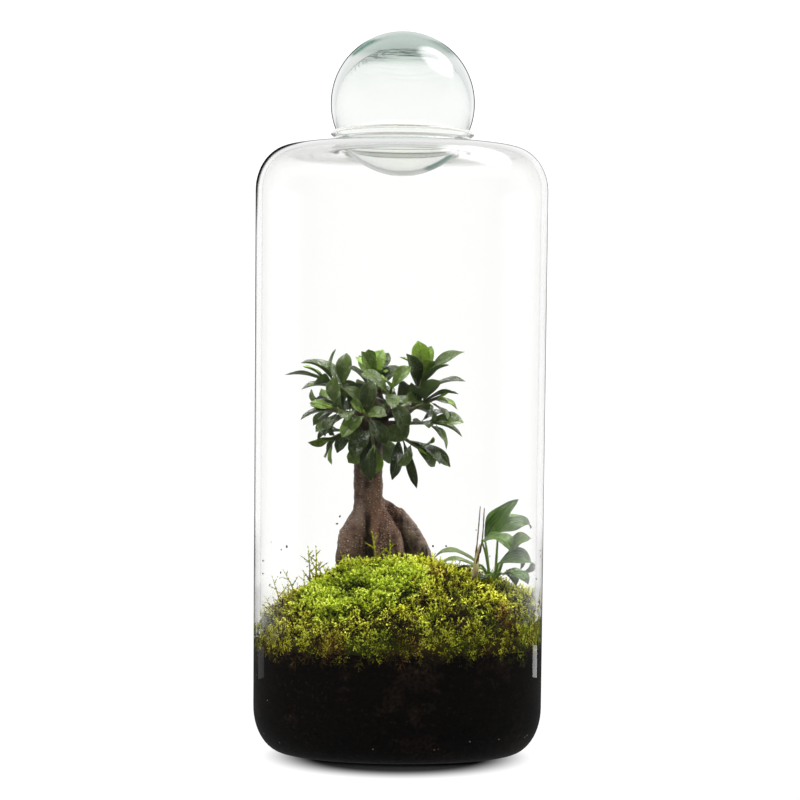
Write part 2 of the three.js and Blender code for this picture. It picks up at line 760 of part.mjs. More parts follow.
// Two bare dry stalks beside the lily, grown from one root
function dryStalks(grow) {
  const foot = point(50, -20, 100);
  const up = point(51, -20.5, 122);
  const radii = [1.4, 1, 0.8, 0.5].map((radius) => radius + grow);
  const stalk = (stations) => tube([foot, up, ...stations.map(vector)], radii, 5);
  const tall = stalk([[53, -22, 146], [55.5, -22, 171]]);
  const short = stalk([[55.5, -27, 146], [57.5, -29, 170]]);
  return tall.add(short);
}

// Everything in place, each piece cut clear of those it stands in
const fig = figWood(0);
const figHole = figWood(GAP);
const lily = peaceLily(0);
const lilyHole = lilyCrown(GAP);
const stalks = dryStalks(0);
const stalkHole = dryStalks(GAP);

const leaves = figLeaves();
const moss = mossBody();
const planted = (solid) => mainBody(solid.subtract(figHole).subtract(lilyHole).subtract(stalkHole));
const soil = planted(pottingSoil());
const carpet = planted(joined([moss.subtract(patchPrism(GAP)), ...SPRIGS.map(mossSprig)]));
const patch = planted(moss.intersect(patchPrism(0)));

const wood = joined([fig, ...FIG_SHOOTS.map((shoot) => figTwig(shoot, 0))]);
const woodClear = joined([figHole, ...FIG_SHOOTS.map((shoot) => figTwig(shoot, GAP))]);
const leafClear = leaves.map((leaf) => blade(leaf, figSections, LEAF_THICKNESS, GAP));
const shoots = FIG_SHOOTS.map((shoot, s) => {
  const own = leaves.filter((leaf) => leaf.shoot === s);
  const blades = own.map((leaf) => blade(leaf, figSections, LEAF_THICKNESS, 0));
  const made = joined([shootStem(shoot, 0), ...blades]);
  const before = leafClear.filter((_, i) => leaves[i].shoot < s);
  const stems = FIG_SHOOTS.slice(0, s).map((other) => shootStem(other, GAP));
  const cutters = [woodClear, ...before, ...stems];
  return mainBody(cutters.reduce((left, cutter) => left.subtract(cutter), made));
});

// Colours
const paint = (color, roughness, extra = {}) =>
  new THREE.MeshStandardMaterial({ color, roughness, metalness: 0, ...extra });
const glass = paint(0xdfeee8, 0.03, { transparent: true, opacity: 0.3 });
const greenGlass = paint(0xcfe8de, 0.03, { transparent: true, opacity: 0.35 });
const bark = paint(0x5b4034, 0.8);
const figGreen = paint(0x2f6b22, 0.3);
const lilyGreen = paint(0x3f8a2c, 0.35);
const straw = paint(0x7d6a3c, 0.8);
const earth = paint(0x120d0b, 0.95);
const mossGreen = paint(0x7d8a1e, 0.9);
const spikemossGreen = paint(0x7fb81c, 0.85);

const terrarium = new THREE.Group();
function place(name, solid, material) {
  const mesh = new THREE.Mesh(geometryOf(solid), material);
  mesh.name = name;
  terrarium.add(mesh);
}

place("glass_jar", glassJar(), glass);
place("glass_ball", glassBall(), greenGlass);
place("potting_soil", soil, earth);
place("moss_carpet", carpet, mossGreen);
place("spikemoss_patch", patch, spikemossGreen);
place("fig_wood", wood, bark);
FIG_SHOOTS.forEach((shoot, s) => place(`fig_shoot_${shoot.name}`, shoots[s], figGreen));
place("peace_lily", lily, lilyGreen);
place("dry_stalks", stalks, straw);

export default terrarium;
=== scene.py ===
# %% [markdown]
# # A closed glass terrarium, dressed from its CAD frame
# The real object is a tall blown jar with a hollow glass ball resting in its neck. Inside stand
# a bed of dark soil, a mound of moss, a small ginseng fig and a young peace lily.
# The CAD gives every piece its place and size. This lesson builds the fine shapes and finishes
# around it, in the same frame, so nothing ever has to be fitted by eye.

# %% Load the fixed frame
import math

import bpy
import numpy as np
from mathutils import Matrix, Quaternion, Vector


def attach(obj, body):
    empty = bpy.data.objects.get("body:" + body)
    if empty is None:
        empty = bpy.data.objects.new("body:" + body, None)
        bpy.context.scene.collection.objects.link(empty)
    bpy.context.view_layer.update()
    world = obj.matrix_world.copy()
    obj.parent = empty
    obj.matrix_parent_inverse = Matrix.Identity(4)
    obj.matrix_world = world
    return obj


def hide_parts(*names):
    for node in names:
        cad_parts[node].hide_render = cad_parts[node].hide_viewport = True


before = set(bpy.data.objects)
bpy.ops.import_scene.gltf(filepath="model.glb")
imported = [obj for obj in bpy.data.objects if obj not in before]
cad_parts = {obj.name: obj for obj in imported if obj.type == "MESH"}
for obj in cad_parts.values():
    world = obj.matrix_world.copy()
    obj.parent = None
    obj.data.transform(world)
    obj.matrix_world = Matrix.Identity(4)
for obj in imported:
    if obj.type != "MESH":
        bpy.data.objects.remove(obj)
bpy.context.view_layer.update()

# %% [markdown]
# ## The camera
# The picture was taken with a long lens a little below the middle of the jar, so the upright
# walls hardly converge. A 135 mm lens two metres away gives that flat view. The camera is also
# rolled by half a degree, because the jar leans that little in the picture.

# %% Place the camera
CAMERA_AT = (0, -2.08, 0.2186)
CAMERA_LOOKS_AT = (0, 0, 0.2436)
CAMERA_LENS = 135
CAMERA_ROLL = math.radians(0.55)

lens = bpy.data.cameras.new("long_lens")
lens.lens = CAMERA_LENS
lens.sensor_width = 36
camera = bpy.data.objects.new("camera", lens)
bpy.context.collection.objects.link(camera)
camera.location = CAMERA_AT
gaze = Vector(CAMERA_LOOKS_AT) - Vector(CAMERA_AT)
camera.rotation_mode = "QUATERNION"
camera.rotation_quaternion = gaze.to_track_quat("-Z", "Y") @ Quaternion((0, 0, 1), CAMERA_ROLL)
bpy.context.scene.camera = camera
bpy.context.scene.view_settings.view_transform = "Standard"
print("the camera is", round(gaze.length, 3), "m from the jar")

# %% [markdown]
# ## Node boards
# A finish is a board of nodes. Writing each node with its sockets in one call keeps a board as
# short as a recipe. A value that is the same everywhere goes straight on the shader's socket.

# %% A recipe for a material
class Recipe:
    """A board of nodes for one finish, and a short call for each kind of node."""

    def __init__(self, owner, name):
        self.owner = owner.new(name)
        self.owner.use_nodes = True
        self.board = self.owner.node_tree
        self.board.nodes.clear()

    def node(self, kind, inputs=None, **settings):
        made = self.board.nodes.new("ShaderNode" + kind)
        for key, value in settings.items():
            setattr(made, key, value)
        for socket, value in (inputs or {}).items():
            if isinstance(value, bpy.types.NodeSocket):
                self.board.links.new(value, made.inputs[socket])
            else:
                made.inputs[socket].default_value = value
        return made

    def shell(self, colour, roughness, **others):
        """The principled shader. Its other sockets are told by name, with _ for each space."""
        sockets = {key.replace("_", " "): value for key, value in others.items()}
        return self.node("BsdfPrincipled", {"Base Color": colour, "Roughness": roughness, **sockets}).outputs[0]

    def mix(self, share, first, second):
        """One colour laid over another. A plain colour has three parts."""
        first, second = (((*part, 1) if isinstance(part, tuple) else part) for part in (first, second))
        return self.node("Mix", {0: share, 6: first, 7: second}, data_type="RGBA").outputs[2]

    def blend(self, share, first, second):
        """One number laid over another."""
        return self.node("Mix", {0: share, 2: first, 3: second}, data_type="FLOAT").outputs[0]

    def either(self, share, first, second):
        """One shader laid over another."""
        return self.node("MixShader", {0: share, 1: first, 2: second}).outputs[0]

    def ramp(self, share, stops):
        """Colours or greys spread along a number from 0 to 1."""
        made = self.node("ValToRGB", {"Fac": share})
        while len(made.color_ramp.elements) < len(stops):
            made.color_ramp.elements.new(0.5)
        for element, (place, colour) in zip(made.color_ramp.elements, stops):
            element.position = place
            element.color = (*colour, 1) if isinstance(colour, tuple) else (colour,) * 3 + (1,)
        return made.outputs["Color"]

    def led(self, value, low, high, first=0.0, last=1.0, **how):
        """A number led from one range to another, and held at the ends."""
        return self.node("MapRange", {0: value, 1: low, 2: high, 3: first, 4: last}, **how).outputs[0]

    def sum(self, operation, *numbers):
        return self.node("Math", dict(enumerate(numbers)), operation=operation).outputs[0]

    def times(self, *numbers):
        return self.sum("MULTIPLY", *numbers)

    def plus(self, *numbers):
        return self.sum("ADD", *numbers)

    def larger(self, *numbers):
        return self.sum("MAXIMUM", *numbers)

    def number(self, name):
        """A number that the mesh carries at each of its points."""
        return self.node("Attribute", attribute_name=name).outputs["Fac"]

    def noise(self, scale, detail=3, vector=None, rough=0.5):
        sockets = {"Scale": scale, "Detail": detail, "Roughness": rough}
        if vector is not None:
            sockets["Vector"] = vector
        return self.node("TexNoise", sockets).outputs["Fac"]

    def cells(self, scale, stretch, some, dots):
        """Dots in the middles of some of many cells: which cells, and how large the dots are."""
        made = self.node("TexVoronoi", {"Vector": self.place(stretch), "Scale": scale, "Randomness": 1.0})
        drawn = self.node("SeparateColor", {0: made.outputs["Color"]}).outputs[0]
        return self.times(self.ramp(made.outputs["Distance"], dots), self.ramp(drawn, some))

    def bump(self, height, depth):
        return self.node("Bump", {"Height": height, "Distance": depth, "Strength": 1.0}).outputs["Normal"]

    def place(self, stretch=(1, 1, 1)):
        """The point on the object in its own frame, stretched along the axes."""
        where = self.node("TexCoord").outputs["Object"]
        return self.node("Mapping", {"Vector": where, "Scale": stretch}).outputs["Vector"]

    def out(self, surface, volume=None):
        sockets = {"Surface": surface}
        if volume is not None:
            sockets["Volume"] = volume
        self.node("OutputMaterial", sockets)
        return self.owner


print("the recipe book is open")

# %% [markdown]
# ## The studio
# Glass has no colour of its own to see: its outline is made by what it bends and mirrors. The
# picture is a bright field, a white backdrop straight behind and a dark room in front, so the
# glass is drawn by thin grey lines and the plants keep their deep colours. One sky can show each
# kind of ray what it would meet. A ray straight through the glass sees the overexposed backdrop.
# One that its outside mirrors sees a dim room with a softbox at the upper right. One that ran
# along inside a wall sees grey. The plants are lit by plain soft lamps besides, of which the
# glass mirrors only two low strips.

# %% Light the studio
ROOM_GREY = 0.05  # the dark front of the studio
BACKDROP_WHITE = 0.9
CEILING = 0.8
OVEREXPOSED = 1.2  # the backdrop is lit so strongly that it stays white through four sides of glass
WALL_GREY = 1.15  # what a ray sees that has run along inside a wall of glass
FAR_WALL = 0.88  # the share of it that comes through both walls of the jar
MIRRORED_GREY = 0.25  # what the outside of the glass mirrors above the table
GLINT = 11.0  # the softbox above, as the wet and waxy leaves in the jar mirror it
SOFTBOX = 9.0  # the large soft lamp at the upper right, as the outside of the glass mirrors it
SOFTBOX_WAY = (0.605, 0.090, 0.791)
ANY = 0.5  # a count above this is one or more
BOTH_WALLS = 3.5  # both walls of the jar have four faces, so a count above this is past them
SMOOTH = {"interpolation_type": "SMOOTHSTEP"}

sky = Recipe(bpy.data.worlds, "studio")
way = sky.node("TexCoord").outputs["Generated"]
_, aim_y, aim_z = sky.node("SeparateXYZ", {0: way}).outputs
path = sky.node("LightPath").outputs
bent, glossy, faces_passed = path["Is Transmission Ray"], path["Is Glossy Ray"], path["Transmission Depth"]
unscattered = sky.sum("LESS_THAN", path["Diffuse Depth"], ANY)
near = sky.sum("LESS_THAN", faces_passed, BOTH_WALLS)

# Rays inside the glass: the room, the grey of the wall, and glints from the plants.
backdrop, ceiling = sky.led(aim_y, 0.1, 0.75, ROOM_GREY, BACKDROP_WHITE), sky.led(aim_z, 0.45, 0.9, 0, CEILING)
room = sky.larger(backdrop, ceiling)
level_light = sky.times(sky.led(aim_z, -0.066, -0.050), sky.led(aim_y, -0.1, 0.4))
steep = sky.led(sky.sum("ABSOLUTE", aim_z), 0.15, 0.4)
wall_share = sky.larger(level_light, sky.times(steep, near))
wall_light = sky.times(sky.larger(room, sky.times(wall_share, WALL_GREY)), sky.led(near, 0, 1, FAR_WALL, 1.0))
glints = sky.times(sky.led(aim_z, 0.60, 0.85, 0, GLINT), sky.sum("GREATER_THAN", faces_passed, BOTH_WALLS))
in_glass = sky.blend(sky.times(bent, unscattered), room, sky.larger(wall_light, glints))

# Rays straight through the glass, and those from the camera: the backdrop.
straight = sky.times(bent, sky.sum("LESS_THAN", path["Glossy Depth"], ANY))
through = sky.blend(sky.larger(path["Is Camera Ray"], straight), in_glass, OVEREXPOSED)

# Rays mirrored by the outside: a dim room, white straight ahead above the moss, and the softbox.
dim_mirror = sky.led(level_light, 0, 1, ROOM_GREY, MIRRORED_GREY)
ahead = sky.times(sky.led(aim_z, -0.045, -0.030), sky.led(aim_y, 0.6, 0.92))
to_softbox = sky.node("VectorMath", {0: way, 1: SOFTBOX_WAY}, operation="DOT_PRODUCT").outputs["Value"]
softbox = sky.led(to_softbox, 0.905, 0.965, 0, SOFTBOX, **SMOOTH)
mirror_light = sky.larger(dim_mirror, sky.larger(ahead, softbox))
from_outside = sky.times(glossy, sky.sum("LESS_THAN", faces_passed, ANY))
outside = sky.blend(from_outside, through, mirror_light)

# Rays mirrored once inside thin glass: soft light from all round.
thin_light = sky.times(sky.led(aim_y, -0.6, 0.5, 0.35, 1.0), sky.led(aim_z, -0.7, 0.0, 0.45, 1.0))
mirrored_inside = sky.times(sky.sum("SUBTRACT", glossy, bent), sky.sum("GREATER_THAN", faces_passed, ANY))
brightness = sky.blend(sky.times(mirrored_inside, unscattered), outside, thin_light)
background = sky.node("Background", {"Color": (1, 1, 1, 1), "Strength": brightness})
sky.node("OutputWorld", {"Surface": background.outputs[0]})
bpy.context.scene.world = sky.owner

MIDDLE = (0, 0, 0.25)
LAMPS = [  # its name, where it hangs, what it looks at, its size, its watts, whether glass mirrors it
    ("right_softbox", (0.66, 0.25, 1.42), MIDDLE, (0.8, 0.8), 40, False),
    ("overhead_softbox", (-0.25, -0.15, 1.6), MIDDLE, (1.2, 1.2), 46, False),
    ("left_fill", (-1.3, -0.9, 0.8), MIDDLE, (0.7, 1.0), 12, False),
    ("left_strip", (-0.469, 0.419, 0.0155), (-0.0945, -0.037, 0.0618), (0.15, 0.03), 0.0022, True),
    ("right_strip", (0.457, 0.442, 0.0185), (0.0954, -0.0346, 0.0645), (0.12, 0.03), 0.014, True),
]
for name, at, looks_at, size, watts, mirrored in LAMPS:
    lamp = bpy.data.lights.new(name, "AREA")
    lamp.shape, lamp.energy = "RECTANGLE", watts
    lamp.size, lamp.size_y = size
    hung = bpy.data.objects.new(name, lamp)
    bpy.context.collection.objects.link(hung)
    hung.location, hung.rotation_mode = at, "QUATERNION"
    hung.rotation_quaternion = (Vector(looks_at) - Vector(at)).to_track_quat("-Z", "Y")
    hung.visible_camera = False
    hung.visible_transmission = hung.visible_glossy = mirrored
print("the studio has", len(LAMPS), "lamps")

# %% [markdown]
# ## The floor
# The floor is plain white and runs into the backdrop without a line. Far from the jar it glows
# as white as the backdrop. Close to the jar the glow ends in a nearly black matt patch, a painted
# shadow, stretched to the front and narrow under the rounded foot.

# %% Lay the floor
FLOOR_HALF = 6.0
FLOOR_Z = -0.3  # a hair under the foot
# The shape of the painted shadow: stretched, and moved a little to the front.
SHADOW_STRETCH = (1.12, 0.72, 0)
SHADOW_SHIFT = (0, 0.015, 0)


def mesh_of(name, points, faces, smooth=True):
    """A mesh from points in millimetres and groups of faces with as many corners each."""
    mesh = bpy.data.meshes.new(name)
    points = np.asarray(points, float).reshape(-1, 3)
    groups = [np.asarray(group, np.int32) for group in faces if len(group)]
    corners = np.concatenate([group.ravel() for group in groups])
    sizes = np.concatenate([np.full(len(group), group.shape[1]) for group in groups])
    mesh.vertices.add(len(points))
    mesh.vertices.foreach_set("co", (points / 1000).ravel())
    mesh.loops.add(len(corners))
    mesh.loops.foreach_set("vertex_index", corners)
    mesh.polygons.add(len(sizes))
    mesh.polygons.foreach_set("loop_start", np.concatenate([[0], np.cumsum(sizes)[:-1]]))
    mesh.polygons.foreach_set("use_smooth", np.full(len(sizes), smooth))
    mesh.update(calc_edges=True)
    return mesh


edge = FLOOR_HALF * 1000
floor_points = [(x * edge, y * edge, FLOOR_Z) for x, y in ((-1, -1), (1, -1), (1, 1), (-1, 1))]
floor = bpy.data.objects.new("floor", mesh_of("floor", floor_points, [[(0, 1, 2, 3)]]))
bpy.context.collection.objects.link(floor)
white = Recipe(bpy.data.materials, "white_table_painted_shadow")
from_foot = white.node("VectorMath", {0: white.place(SHADOW_STRETCH), 1: SHADOW_SHIFT}, operation="ADD")
distance = white.node("VectorMath", {0: from_foot.outputs[0]}, operation="LENGTH").outputs["Value"]
# A nearly black matt close to the jar: the painted shadow, where the glow fades out.
painted_shadow = white.node("BsdfDiffuse", {"Color": (0.012, 0.012, 0.012, 1)}).outputs[0]
glow = white.node("Emission", {"Color": (1, 1, 1, 1), "Strength": 1.05}).outputs[0]
floor.data.materials.append(white.out(white.either(white.led(distance, 0.066, 0.108, **SMOOTH), painted_shadow, glow)))
floor.visible_glossy = False  # the glass in front mirrors a dark room, not the table
floor.visible_transmission = False
print("the floor is", 2 * FLOOR_HALF, "m wide")

# %% [markdown]
# ## Draws that repeat
# Leaves, crumbs and moss look scattered, but the script has to give the same result each run.
# So every stray number comes from a rule: `chance` gives the draws that the CAD uses too, and
# `lumps` gives soft hills that join up smoothly, for relief and for patches of colour.

# %% Chance and lumps
def chance(n):
    value = np.sin(np.asarray(n, float) * 12.9898 + 4.1414) * 43758.5453
    return value - np.floor(value)


def lumps(points, size, seed=0):
    """Soft hills from -1 to 1, about as far apart as size in millimetres."""
    where = np.asarray(points, float) / size + 31.7 * (seed + 1)
    cell = np.floor(where)
    part = where - cell
    part = part * part * (3 - 2 * part)
    total = 0
    for corner in np.ndindex(2, 2, 2):
        share = np.prod(np.where(corner, part, 1 - part), axis=-1)
        total = total + share * chance((cell + corner) @ np.array([12.71, 31.17, 7.47]))
    return 2 * total - 1


def eased(value, low, high):
    """A smooth step from 0 at low to 1 at high."""
    share = np.clip((value - low) / (high - low), 0, 1)
    return share * share * (3 - 2 * share)


def between(value, rises, full, falls, gone):
    """A smooth step up to 1 and down again."""
    return eased(value, rises, full) * (1 - eased(value, falls, gone))


def unit(vectors):
    vectors = np.asarray(vectors, float)
    return vectors / np.maximum(np.linalg.norm(vectors, axis=-1, keepdims=True), 1e-12)


def square_to(aim, vector):
    """The vector turned just so far that it stands square to aim."""
    return unit(vector - aim * np.dot(vector, aim))


draw = np.random.default_rng(20)
print("a draw:", round(float(chance(7)), 4))

# %% [markdown]
# ## Putting a piece in place
# Each piece is a mesh in the shared frame. It rides on the one body of this object, and the CAD
# nodes that it stands for are hidden.

# %% Place a piece
def place(name, points, faces, finishes, slot, stands_for=(), numbers=None, smooth=True, which=None):
    mesh = mesh_of(name, points, faces, smooth)
    for key, values in (numbers or {}).items():
        mesh.attributes.new(key, "FLOAT", "POINT").data.foreach_set("value", np.asarray(values, np.float32))
    for finish in finishes:
        mesh.materials.append(finish)
    if which is not None:
        mesh.polygons.foreach_set("material_index", np.asarray(which, np.int32))
    piece = bpy.data.objects.new(name, mesh)
    bpy.context.collection.objects.link(piece)
    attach(piece, "root")
    if stands_for:
        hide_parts(*stands_for)
    mesh.calc_loop_triangles()
    print(name, "has", len(mesh.loop_triangles), "triangles")
    return piece


# %% [markdown]
# ## Clear glass
# The jar is clear glass that looks faintly grey where one looks along its wall, and the thick
# crown of the ball looks grey-green, with deep green where the last glass gathered. Real glass
# takes away a little light on the way through, most of the red, so a volume that absorbs gives
# the grey. Level dark lines, the cords, run through the crown. The outline is a painted dark line:
# a see-through dark shader is laid on where the surface is seen edge on, a painted reflection in
# place of the dark room that the sides would mirror. Neither shell casts a shadow here: bent light
# would need far too many samples to come out clean, and the light in a real jar is almost the
# light outside it.

# %% Mix the glass
HAZE = 12.0
CROWN_TINT = (0.44, 0.52, 0.475)
DEEP_GREEN = (0.012, 0.08, 0.045)
CORD_GREY = (0.02, 0.03, 0.035)
CORD_STRETCH = (16, 16, 560)
CORD_STOPS = [(0.445, 0.0), (0.485, 1.0), (0.515, 1.0), (0.555, 0.0)]
LINE_SOFT = 0.07


def glass_finish(name, clear, tint, rim, rim_begins):
    recipe = Recipe(bpy.data.materials, name)
    slant = recipe.node("LayerWeight", {"Blend": 0.5}).outputs["Facing"]
    tinted = recipe.mix(recipe.number("crown"), clear, CROWN_TINT)
    gathered = recipe.times(recipe.number("gathered"), recipe.ramp(slant, [(0.58, 0.0), (0.72, 1.0)]))
    greened = recipe.mix(gathered, tinted, DEEP_GREEN)
    cords = recipe.ramp(recipe.noise(1, 4, recipe.place(CORD_STRETCH), 0.65), CORD_STOPS)
    corded = recipe.mix(recipe.times(cords, recipe.number("corded")), greened, CORD_GREY)
    body = recipe.shell(corded, 0.0, IOR=1.5, Transmission_Weight=1.0)
    bounced = recipe.sum("GREATER_THAN", recipe.node("LightPath").outputs["Glossy Depth"], ANY)
    air = recipe.node("BsdfTransparent").outputs[0]
    body = recipe.either(recipe.times(bounced, recipe.number("thin")), body, air)
    # Painted dark rim: where the glass is seen edge on, and along the line that the shoulder number adds, a dark
    # see-through shader stands in for a reflection of a dark room.
    edge_on = recipe.ramp(
        recipe.plus(slant, recipe.number("shoulder")), [(rim_begins, 0.0), (rim_begins + LINE_SOFT, 1.0)]
    )
    painted_dark_rim = recipe.node("BsdfTransparent", {"Color": (*rim, 1)}).outputs[0]
    haze = recipe.node("VolumeAbsorption", {"Color": (*tint, 1), "Density": HAZE}).outputs[0]
    return recipe.out(recipe.either(recipe.times(recipe.number("painted_outline"), edge_on), body, painted_dark_rim), haze)


jar_glass = glass_finish("clear_jar_glass", (0.995, 0.995, 0.99), (0.86, 0.88, 0.84), (0.10, 0.095, 0.085), 0.87)
ball_glass = glass_finish("green_ball_glass", (0.968, 0.968, 0.962), (0.56, 0.84, 0.72), (0.10, 0.11, 0.10), 0.81)
print("two kinds of glass are mixed")

# %% [markdown]
# ## The jar
# A blown jar is round about its axis, so its section is drawn once, down the outside and up the
# inside, and turned. The CAD has 32 facets, which glass would show as 32 bright stripes, so the
# same section is turned again here with finer arcs and many more sides. The rolled lip and the
# neck are drawn with straight lines in the CAD. Cutting their corners twice rounds them. In the
# picture the outline is darkest at the left shoulder and down the left wall, so the mesh carries
# numbers that make the painted dark line strongest there, and paint a dark line round the neck.

# %% Turn the jar
ROUND_SIDES = 200
FOOT_WALL_RADIUS = 99.5
WALL = 4.5
FLOOR = 7
CORNER_Z = 34  # where the rounded inner corner ends
CORNER_R, CORNER_WIDE, CORNER_HIGH = 77, 18, 27  # the middle of that corner, and its two radii
SHOULDER_Z = 388.1
SHOULDER_R = 77.3
SHOULDER_WIDE, SHOULDER_HIGH = 24.2, 30.5
INNER_SKIN = 98.6  # points of the wall that are nearer the axis than this are on its inside
NECK_Z = 418.6
BALL_RADIUS = 50
BALL_Z = 449.4
SEAT_GAP = 0.3  # between the ball and the neck
LIP_LINE = [  # its radius, and its height above the neck
    (62, 0.6), (50.8, 1.4), (47.4, 3.2), (47.2, 6.4), (48.6, 7.8), (50.2, 9.0), (49.6, 11.2), (47.2, 11.2)
]
THROAT_LINE = [(43.2, 1.6), (46, -2.2), (62, -3.6)]


def arc(centre_r, centre_z, wide, high, start, end, steps):
    angles = np.radians(np.linspace(start, end, steps + 1))
    return np.stack([centre_r + wide * np.cos(angles), centre_z + high * np.sin(angles)], -1)


def rounded(line, rounds=2):
    """A line with its corners cut, and its ends kept."""
    line = np.asarray(line, float)
    for _ in range(rounds):
        near_side = 0.75 * line[:-1] + 0.25 * line[1:]
        far_side = 0.25 * line[:-1] + 0.75 * line[1:]
        cut = np.stack([near_side, far_side], 1).reshape(-1, 2)
        line = np.concatenate([line[:1], cut[1:-1], line[-1:]])
    return line


def facing_out(points, faces):
    """The faces of a closed body, turned over if they look inwards. Glass needs them right."""
    volume = 0
    for group in faces:
        for k in range(1, group.shape[1] - 1):
            a, b, c = (points[group[:, n]] for n in (0, k, k + 1))
            volume += np.sum(a * np.cross(b, c))
    return faces if volume > 0 else [group[:, ::-1] for group in faces]


def lattice(rings, sides):
    """The corners along each ring but the last, and the corner beside each."""
    ring, k = np.meshgrid(np.arange(rings - 1), np.arange(sides), indexing="ij")
    return ring * sides + k, ring * sides + (k + 1) % sides


def caps(rings, sides):
    """Triangles that close both ends. Their two middle points come after the rings."""
    k = np.arange(sides)
    last = (rings - 1) * sides
    low = np.stack([np.full(sides, rings * sides), (k + 1) % sides, k], -1)
    high = np.stack([np.full(sides, rings * sides + 1), last + k, last + (k + 1) % sides], -1)
    return np.concatenate([low, high])


def turned(profile, sides=ROUND_SIDES):
    """Points and faces of a section that starts and ends on the axis, turned about it."""
    middle = np.asarray(profile[1:-1], float)
    angles = np.linspace(0, 2 * np.pi, sides, endpoint=False)
    rings = np.empty((len(middle), sides, 3))
    rings[..., 0] = middle[:, :1] * np.cos(angles)
    rings[..., 1] = middle[:, :1] * np.sin(angles)
    rings[..., 2] = middle[:, 1:]
    ends = [(0, 0, profile[0][1]), (0, 0, profile[-1][1])]
    points = np.concatenate([rings.reshape(-1, 3), ends])
    here, beside = lattice(len(middle), sides)
    quads = np.stack([here, beside, beside + sides, here + sides], -1).reshape(-1, 4)
    return points, facing_out(points, [quads, caps(len(middle), sides)])


foot = rounded([(0, 2), (46, 2), (54, 0), (77.5, 0)], 1)
outer_corner = arc(FOOT_WALL_RADIUS - 22, 32, 22, 32, -90, 0, 14)
outer_shoulder = arc(SHOULDER_R, SHOULDER_Z, SHOULDER_WIDE, SHOULDER_HIGH, 0, 90, 18)
lip = rounded([outer_shoulder[-1]] + [(r, NECK_Z + z) for r, z in LIP_LINE])
seat = [(r, BALL_Z - math.sqrt((BALL_RADIUS + SEAT_GAP) ** 2 - r**2)) for r in np.linspace(45.2, 43.6, 5)]
inner_shoulder = arc(SHOULDER_R, SHOULDER_Z, SHOULDER_WIDE - WALL, 26.4, 90, 0, 18)
throat = rounded([*[(r, NECK_Z + z) for r, z in THROAT_LINE], inner_shoulder[0]])
inner_corner = arc(CORNER_R, CORNER_Z, CORNER_WIDE, CORNER_HIGH, 0, -90, 14)
outer_wall = np.linspace(outer_corner[-1], outer_shoulder[0], 12)[1:-1]
inner_wall = np.linspace(inner_shoulder[-1], inner_corner[0], 12)[1:-1]
section = np.concatenate(
    [foot[:-1], outer_corner, outer_wall, outer_shoulder[:-1], lip, seat, throat[:-1], inner_shoulder]
    + [inner_wall, inner_corner, [(0, FLOOR + 0.4)]]
)
jar_points, jar_faces = turned(section)
jar_x, jar_y, jar_z = jar_points.T
radius = np.hypot(jar_x, jar_y)
uneven = between(jar_z, 40, 90, 330, 380) * (radius < INNER_SKIN)
jar_points[:, :2] *= 1 + (0.0012 * uneven * lumps(jar_points, 55))[:, None]
below_lip = 1 - 0.85 * eased(jar_z, NECK_Z - 2, NECK_Z + 1)
bend = np.hypot((radius - SHOULDER_R) / SHOULDER_WIDE, (jar_z - SHOULDER_Z) / SHOULDER_HIGH)
inner_side = np.where(jar_z > SHOULDER_Z, bend < 0.95, radius < INNER_SKIN)
# Painted dark outline: stronger at the left shoulder and down the left wall, and a painted dark line round the neck.
at_left = eased(-jar_x, 58, 76) * eased(jar_z, 90, 130)
painted_left_darkening = at_left * (0.35 + 0.65 * eased(jar_z, 372, 394))
jar_numbers = {
    "painted_outline": below_lip * (0.73 + 0.27 * painted_left_darkening) * (1 - 0.6 * inner_side),
    "shoulder": 0.15 * between(jar_z, 416.4, 417.4, 418.7, 419.4) + 0.10 * painted_left_darkening * (1 - inner_side),
    "thin": eased(jar_z, NECK_Z - 14, NECK_Z - 6),
}
jar = place("jar_shell", jar_points, jar_faces, [jar_glass], "jar_glass", ["glass_jar"], jar_numbers)


def clear_of_shadows(piece):
    piece.visible_shadow = False
    piece.visible_diffuse = False
    piece.data.set_sharp_from_angle(angle=math.radians(50))


clear_of_shadows(jar)
print("the jar is", round(float(jar_z.max()), 1), "mm high to its lip")

# %% [markdown]
# ## The ball
# The ball is blown too: its wall is thin at the sides and eight millimetres thick at the crown,
# where the last glass gathered, and it is open at its lowest point where the pipe was. The
# inside of the crown isn't smooth, so its ripples are modelled. The finer level lines and the
# green where the glass is deepest are told to the finish by numbers on the mesh.

# %% Turn the ball
CROWN_Z = 479  # the ripples begin above this height
PIPE_RADIUS = 5
HOLLOW_Z, HOLLOW_WIDE, HOLLOW_HIGH = 446.8, 47.2, 44.6
HOLLOW_TOP = 491.4
WEDGES = [((-31, -18.5, 484), 1.5), ((29.5, -19, 484.4), 0.8)]  # two green spots, and how strong

outside = arc(0, BALL_Z, BALL_RADIUS, BALL_RADIUS, 90, math.degrees(math.asin(PIPE_RADIUS / BALL_RADIUS)) - 90, 72)
pipe_angle = math.degrees(math.asin(PIPE_RADIUS / HOLLOW_WIDE))
hollow = arc(0, HOLLOW_Z, HOLLOW_WIDE, HOLLOW_HIGH, pipe_angle - 90, 90, 72)
outside[0], hollow[-1] = (0, BALL_Z + BALL_RADIUS), (0, HOLLOW_TOP)
pipe_hole = rounded([outside[-1], hollow[0]], 1)[1:-1]
ball_points, ball_faces = turned(np.concatenate([outside, pipe_hole, hollow]))
ball_x, ball_y, ball_z = ball_points.T
inner = np.linalg.norm(ball_points - (0, 0, BALL_Z), axis=1) < BALL_RADIUS - 1
crown = inner * eased(ball_z, CROWN_Z, CROWN_Z + 4)
ripple = np.sin(2.6 * ball_z + 2.5 * lumps(ball_points * (1, 1, 0.4), 16, 3))
ball_points[:, :2] *= 1 + (0.0045 * crown * ripple)[:, None]
